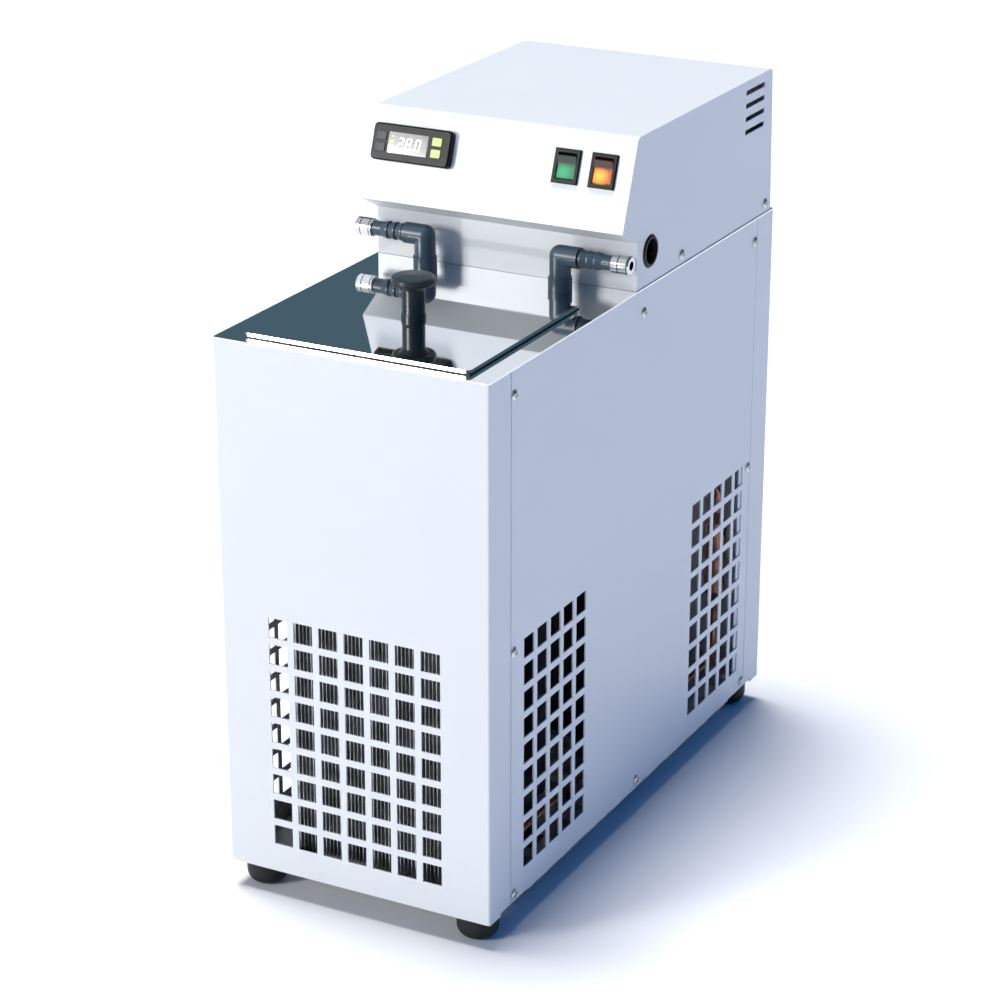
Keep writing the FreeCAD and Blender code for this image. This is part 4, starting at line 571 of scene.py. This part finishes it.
def seven_segments(digit):
    """One slightly leaning digit of seven bars, lying in the XY plane."""
    half, tall, bar, gap = 2.1 * MM, 4.6 * MM, 1.0 * MM, 0.12 * MM
    bars = {
        "a": ((-half, tall), (half, tall)),
        "b": ((half, 0), (half, tall)),
        "c": ((half, -tall), (half, 0)),
        "d": ((-half, -tall), (half, -tall)),
        "e": ((-half, -tall), (-half, 0)),
        "f": ((-half, 0), (-half, tall)),
        "g": ((-half, 0), (half, 0)),
    }
    mesh = bmesh.new()
    for letter in SEGMENTS[digit]:
        (x0, y0), (x1, y1) = bars[letter]
        flat = y0 == y1
        low = (x0 + gap if flat else x0 - bar / 2, y0 - bar / 2 if flat else y0 + gap, 0)
        high = (x1 - gap if flat else x1 + bar / 2, y1 + bar / 2 if flat else y1 - gap, MARK_DEPTH)
        add_to(mesh, block(low, high))
    lean = Matrix.Identity(4)
    lean[0][1] = DIGIT_LEAN
    return move(mesh, lean)


# Settings
class BathSizes(bpy.types.PropertyGroup):
    panel_lean: bpy.props.FloatProperty(
        name="Panel lean", description="How far the control panel leans back", subtype="ANGLE",
        default=math.radians(20.5))
    screw_head: bpy.props.FloatProperty(
        name="Screw head", description="Radius of a panel screw's head", unit="LENGTH", default=4.7 * MM)
    hole_pitch: bpy.props.FloatProperty(
        name="Hole pitch", description="Step from one air hole to the next", unit="LENGTH", default=24.0 * MM)
    hole_size: bpy.props.FloatProperty(
        name="Hole size", description="Width and height of an air hole", unit="LENGTH", default=18.0 * MM)
    top_row: bpy.props.FloatProperty(
        name="Top row", description="Height of the middle of the top row of air holes", unit="LENGTH",
        default=251.0 * MM)


class BathColours(bpy.types.PropertyGroup):
    paint: bpy.props.FloatVectorProperty(
        name="Paint", description="Powder coat on the cabinet and head", subtype="COLOR", size=3,
        default=(0.63, 0.645, 0.655))
    deck: bpy.props.FloatVectorProperty(
        name="Deck", description="Polished steel of the deck and lid", subtype="COLOR", size=3,
        default=(0.80, 0.82, 0.83))
    fittings: bpy.props.FloatVectorProperty(
        name="Fittings", description="Slate plastic of the hose fittings", subtype="COLOR", size=3,
        default=(0.040, 0.065, 0.090))
    knob: bpy.props.FloatVectorProperty(
        name="Knob", description="Plastic of the lid's knob", subtype="COLOR", size=3,
        default=(0.011, 0.020, 0.026))


class StageSettings(bpy.types.PropertyGroup):
    lens: bpy.props.FloatProperty(
        name="Lens", description="Focal length in millimetres on a 36 mm sensor", default=106.55)
    camera_place: bpy.props.FloatVectorProperty(
        name="Camera place", description="Where the camera stands", subtype="TRANSLATION", size=3,
        default=(1.1309, -2.1730, 1.2436))
    camera_heading: bpy.props.FloatProperty(
        name="Heading", description="Turn of the camera about the vertical", subtype="ANGLE",
        default=math.radians(27.74))
    camera_pitch: bpy.props.FloatProperty(
        name="Pitch", description="How far the camera looks down", subtype="ANGLE",
        default=math.radians(21.44))
    key_power: bpy.props.FloatProperty(
        name="Key power", description="Power of the light at the front left", subtype="POWER", default=172.0)
    overhead: bpy.props.FloatProperty(
        name="Overhead", description="Strength of the soft light from above", default=4.3)
    sky: bpy.props.FloatVectorProperty(
        name="Sky", description="Light from above and from the left", subtype="COLOR", size=3,
        default=(0.19, 0.194, 0.20))
    shade: bpy.props.FloatVectorProperty(
        name="Shade", description="Light from the right", subtype="COLOR", size=3,
        default=(0.01, 0.15, 0.52))
    bright: bpy.props.FloatVectorProperty(
        name="Bright", description="What metal mirrors from above and from the left", subtype="COLOR",
        size=3, default=(0.72, 0.74, 0.76))
    flag: bpy.props.FloatVectorProperty(
        name="Flag", description="What metal mirrors from the right and from behind the object",
        subtype="COLOR", size=3, default=(0.072, 0.126, 0.165))


# Pieces
class WATERBATH_OT_cabinet(bpy.types.Operator):
    """Finish the painted panels, the plain sheets, the black parts, the rubber and the screws"""
    bl_idname = "waterbath.cabinet"
    bl_label = "Cabinet"

    def execute(self, context):
        paint = powder_coat(tuple(context.scene.bath_colours.paint))
        clothe(paint, "front_panel", "rear_panel", "right_side_panel", "left_side_panel", "head_cover")
        clothe(galvanised_sheet(GALVANISED), "base_pan", "head_rails", "fan_strap")
        clothe(enamel("black_enamel", BLACK_PAINT), "fan_baffle", "condenser_end_plates", "compressor")
        clothe(rubber(BLACK_RUBBER), "feet", "lid_seal", "side_grommet", "compressor_mounts")
        clothe(zinc_plate(ZINC), "panel_screws", "foot_screws", "knob_screw")
        return {"FINISHED"}


class WATERBATH_OT_grilles(bpy.types.Operator):
    """Cut the top row of square air holes through the front and side panels"""
    bl_idname = "waterbath.grilles"
    bl_label = "Grilles"

    def execute(self, context):
        sizes = context.scene.bath_sizes
        paint = bpy.data.materials["powder_coat"]
        half = Vector((sizes.hole_size, sizes.hole_size, sizes.hole_size)) / 2
        for name, axis, starts, columns in GRILLES:
            low, high = (Vector(corner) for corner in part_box(name))
            spot = (low + high) / 2
            if name == "front_panel":
                # Its box takes in the returns behind the sheet
                spot.y = low.y
            spot.z = sizes.top_row
            cutter = bmesh.new()
            for start in starts:
                for column in range(columns):
                    spot[axis] = start + column * sizes.hole_pitch
                    add_to(cutter, block(spot - half, spot + half))
            panel = cut_holes(name, cutter)
            for face in panel.faces:
                face.smooth = max(abs(part) for part in face.normal) < FLAT
            keep(panel, name + "_vented", paint, "cabinet", (name,))
        return {"FINISHED"}


class WATERBATH_OT_screws(bpy.types.Operator):
    """Give the side panels and the head round-headed screws with a cross recess"""
    bl_idname = "waterbath.screws"
    bl_label = "Screws"

    def execute(self, context):
        radius = context.scene.bath_sizes.screw_head
        mesh = bmesh.new()
        for seat, side in screw_spots():
            turn = Matrix.Rotation(side * math.pi / 2, 4, "Y")
            add_to(mesh, move(screw_head(radius), Matrix.Translation(seat) @ turn))
        keep(mesh, "cross_screws", zinc_plate(SCREW_ZINC), "cabinet", ("panel_screws",),
             smooth=35)
        return {"FINISHED"}


class WATERBATH_OT_deck(bpy.types.Operator):
    """Finish the mirror-polished deck and lid, the knob, and the black frames of the controls"""
    bl_idname = "waterbath.deck"
    bl_label = "Deck and lid"

    def execute(self, context):
        colours = context.scene.bath_colours
        clothe(mirror_steel(tuple(colours.deck)), "deck_plate", "lid")
        clothe(moulded("knob_plastic", tuple(colours.knob), roughness=0.3, grain=0.03, gloss=0.35),
               "lid_knob", "cord_gland", "fuse_holder", "fan_blades")
        clothe(moulded("bezel_plastic", BEZEL_BLACK, roughness=0.24, grain=0.03, gloss=0.1),
               "controller_case", "power_switch_frame", "cooling_switch_frame")
        return {"FINISHED"}


class WATERBATH_OT_bath(bpy.types.Operator):
    """Finish the tank, the pump, the motors, the probe and the circuit board"""
    bl_idname = "waterbath.bath"
    bl_label = "Bath and pump"

    def execute(self, context):
        clothe(drawn_steel(TANK_STEEL), "bath_tank", "pump_column", "temperature_probe",
               "delivery_pipe", "pump_shaft", "fan_shaft")
        clothe(rigid_foam(FOAM), "tank_insulation")
        clothe(moulded("pump_plastic", PUMP_WHITE), "pump_housing", "pump_impeller", "probe_gland",
               "board_standoffs")
        clothe(enamel("motor_enamel", MOTOR_GREY), "pump_motor", "fan_motor")
        clothe(lacquered_board(BOARD_GREEN), "circuit_board")
        return {"FINISHED"}


class WATERBATH_OT_cooling(bpy.types.Operator):
    """Finish the condenser, the cooling coil, the drier and the copper lines"""
    bl_idname = "waterbath.cooling"
    bl_label = "Cooling"

    def execute(self, context):
        clothe(fin_stock(FIN_METAL), "condenser_core")
        clothe(copper_tube(DULL_COPPER), "condenser_bends", "cooling_coil", "discharge_line",
               "liquid_line", "filter_drier")
        return {"FINISHED"}


class WATERBATH_OT_nozzles(bpy.types.Operator):
    """Finish the hose fittings and their bright tips"""
    bl_idname = "waterbath.nozzles"
    bl_label = "Nozzles"

    def execute(self, context):
        slate = tuple(context.scene.bath_colours.fittings)
        clothe(moulded("fitting_plastic", slate, roughness=0.34, grain=0.04), "nozzle_bases",
               "nozzle_nuts", "nozzle_elbows", "hose_nozzles")
        clothe(chrome_with_painted_groove_shade(NOZZLE_CHROME), "nozzle_tips")
        return {"FINISHED"}


class WATERBATH_OT_controls(bpy.types.Operator):
    """Finish the controller's window and keys, and the rockers"""
    bl_idname = "waterbath.controls"
    bl_label = "Controls"

    def execute(self, context):
        clothe(smoked_window(SMOKED_GLASS), "display_window")
        clothe(moulded("lime_plastic", LIME, roughness=0.3), "upper_right_key", "lower_right_key")
        clothe(moulded("grey_plastic", KEY_GREY, roughness=0.4, gloss=0.3), "upper_left_key",
               "lower_left_key")
        for name, colour, glow, strength in ROCKERS:
            low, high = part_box(name)
            heart = Vector(low).lerp(Vector(high), 0.5) + ROCKER_LAMP
            clothe(lit_plastic(name + "_plastic", colour, glow, strength, heart), name)
        return {"FINISHED"}


class WATERBATH_OT_display(bpy.types.Operator):
    """Light the controller's digits and indicators"""
    bl_idname = "waterbath.display"
    bl_label = "Display"

    def execute(self, context):
        place = window_place()
        digits = bmesh.new()
        for across, digit in DIGITS:
            add_to(digits, move(seven_segments(digit), Matrix.Translation((across, 0, 0))))
        add_to(digits, block(*DECIMAL_POINT))
        move(digits, place @ Matrix.Translation(NUMBER_SHIFT))
        keep(digits, "display_digits", lamp("digit_light", DIGIT_LIGHT, 1.9), "cabinet")
        lamps = bmesh.new()
        for across, up, radius in INDICATORS:
            dot = turned([(radius, 0), (radius, MARK_DEPTH), (0, LAMP_DOME)], steps=20)
            add_to(lamps, move(dot, Matrix.Translation((across, up, 0))))
        move(lamps, place)
        keep(lamps, "display_lamps", lamp("lime_light", LIME_LIGHT, 1.2), "cabinet")
        return {"FINISHED"}


class WATERBATH_OT_stage(bpy.types.Operator):
    """Set up the floor, the lights and the camera"""
    bl_idname = "waterbath.stage"
    bl_label = "Stage"

    def execute(self, context):
        settings = context.scene.bath_stage
        context.scene.view_settings.view_transform = "Standard"
        self.floor(context)
        self.sky(context, settings)
        key = self.light(context, "key_light", "AREA", KEY_PLACE, KEY_AIM, settings.key_power)
        key.size = KEY_SIZE
        key.color = KEY_COLOUR
        above = self.light(context, "overhead_light", "SUN", OVERHEAD_PLACE, OVERHEAD_AIM,
                           settings.overhead)
        above.angle = OVERHEAD_ANGLE
        camera = bpy.data.objects.new("camera", bpy.data.cameras.new("camera"))
        camera.data.lens = settings.lens
        camera.data.clip_end = CLIP_END
        camera.location = settings.camera_place
        camera.rotation_euler = (math.pi / 2 - settings.camera_pitch, 0, settings.camera_heading)
        context.scene.collection.objects.link(camera)
        context.scene.camera = camera
        return {"FINISHED"}

    def floor(self, context):
        mesh = bmesh.new()
        bmesh.ops.create_grid(mesh, x_segments=1, y_segments=1, size=FLOOR_REACH)
        data = bpy.data.meshes.new("floor")
        mesh.to_mesh(data)
        mesh.free()
        data.materials.append(pale_floor(FLOOR_GREY))
        ground = bpy.data.objects.new("floor", data)
        context.scene.collection.objects.link(ground)

    def light(self, context, name, kind, place, target, power):
        """A light that shines from a place to a target. Metal mirrors only an area light."""
        data = bpy.data.lights.new(name, kind)
        data.energy = power
        source = bpy.data.objects.new(name, data)
        source.location = place
        source.rotation_euler = (Vector(target) - Vector(place)).to_track_quat("-Z", "Y").to_euler()
        source.visible_glossy = kind == "AREA"
        context.scene.collection.objects.link(source)
        return data

    def sky(self, context, settings):
        """Pale light from above and from the left, and blue shade from the right. Metal mirrors a
        brighter sky, and a slate-dark flag on the right and behind the object. What the camera
        sees past the floor is white."""
        world = bpy.data.worlds.new("studio")
        world.use_nodes = True
        context.scene.world = world
        sky = Nodes(world.node_tree)
        way = sky.add("ShaderNodeTexCoord", {}, output="Generated")
        overhead = sky.ramp(sky.axis("Z", way), *SHADE_TOP)
        shaded = sky.ramp(sky.axis("X", way), *SHADE_EDGE) * (1.0 - overhead)
        mirrored = sky.add("ShaderNodeLightPath", {}, output="Is Glossy Ray")
        light = sky.blend(shaded, sky.blend(mirrored, tuple(settings.sky), tuple(settings.bright)),
                          sky.blend(mirrored, tuple(settings.shade), tuple(settings.flag)))
        heading = settings.camera_heading
        behind = Vector((-math.sin(heading), math.cos(heading), FLAG_RISE)).normalized()
        toward = sky.add("ShaderNodeVectorMath", {"operation": "DOT_PRODUCT"}, way, tuple(behind),
                         output="Value")
        light = sky.blend(sky.ramp(toward, *FLAG_EDGE), light, tuple(settings.flag))
        seen = sky.add("ShaderNodeLightPath", {}, output="Is Camera Ray")
        light = sky.blend(seen, light, WHITE)
        sky.tree.links.new(light.socket, world.node_tree.nodes["Background"].inputs["Color"])


class WATERBATH_PT_panel(bpy.types.Panel):
    """Lists the pieces and their settings"""
    bl_idname = "WATERBATH_PT_panel"
    bl_label = "Water Bath"
    bl_space_type = "VIEW_3D"
    bl_region_type = "UI"
    bl_category = "Water Bath"

    def draw(self, context):
        for group in (context.scene.bath_sizes, context.scene.bath_colours, context.scene.bath_stage):
            for name in group.bl_rna.properties.keys():
                if name not in ("rna_type", "name"):
                    self.layout.prop(group, name)
        for operator in OPERATORS:
            self.layout.operator(operator.bl_idname)


SETTINGS = {"bath_sizes": BathSizes, "bath_colours": BathColours, "bath_stage": StageSettings}
OPERATORS = (
    WATERBATH_OT_cabinet,
    WATERBATH_OT_grilles,
    WATERBATH_OT_screws,
    WATERBATH_OT_deck,
    WATERBATH_OT_bath,
    WATERBATH_OT_cooling,
    WATERBATH_OT_nozzles,
    WATERBATH_OT_controls,
    WATERBATH_OT_display,
    WATERBATH_OT_stage,
)


def register():
    for name, group in SETTINGS.items():
        bpy.utils.register_class(group)
        setattr(bpy.types.Scene, name, bpy.props.PointerProperty(type=group))
    for operator in OPERATORS:
        bpy.utils.register_class(operator)
    bpy.utils.register_class(WATERBATH_PT_panel)


def unregister():
    bpy.utils.unregister_class(WATERBATH_PT_panel)
    for operator in reversed(OPERATORS):
        bpy.utils.unregister_class(operator)
    for name, group in SETTINGS.items():
        delattr(bpy.types.Scene, name)
        bpy.utils.unregister_class(group)


def main():
    register()
    for operator in OPERATORS:
        module, name = operator.bl_idname.split(".")
        getattr(getattr(bpy.ops, module), name)()


if __name__ == "__main__":
    main()
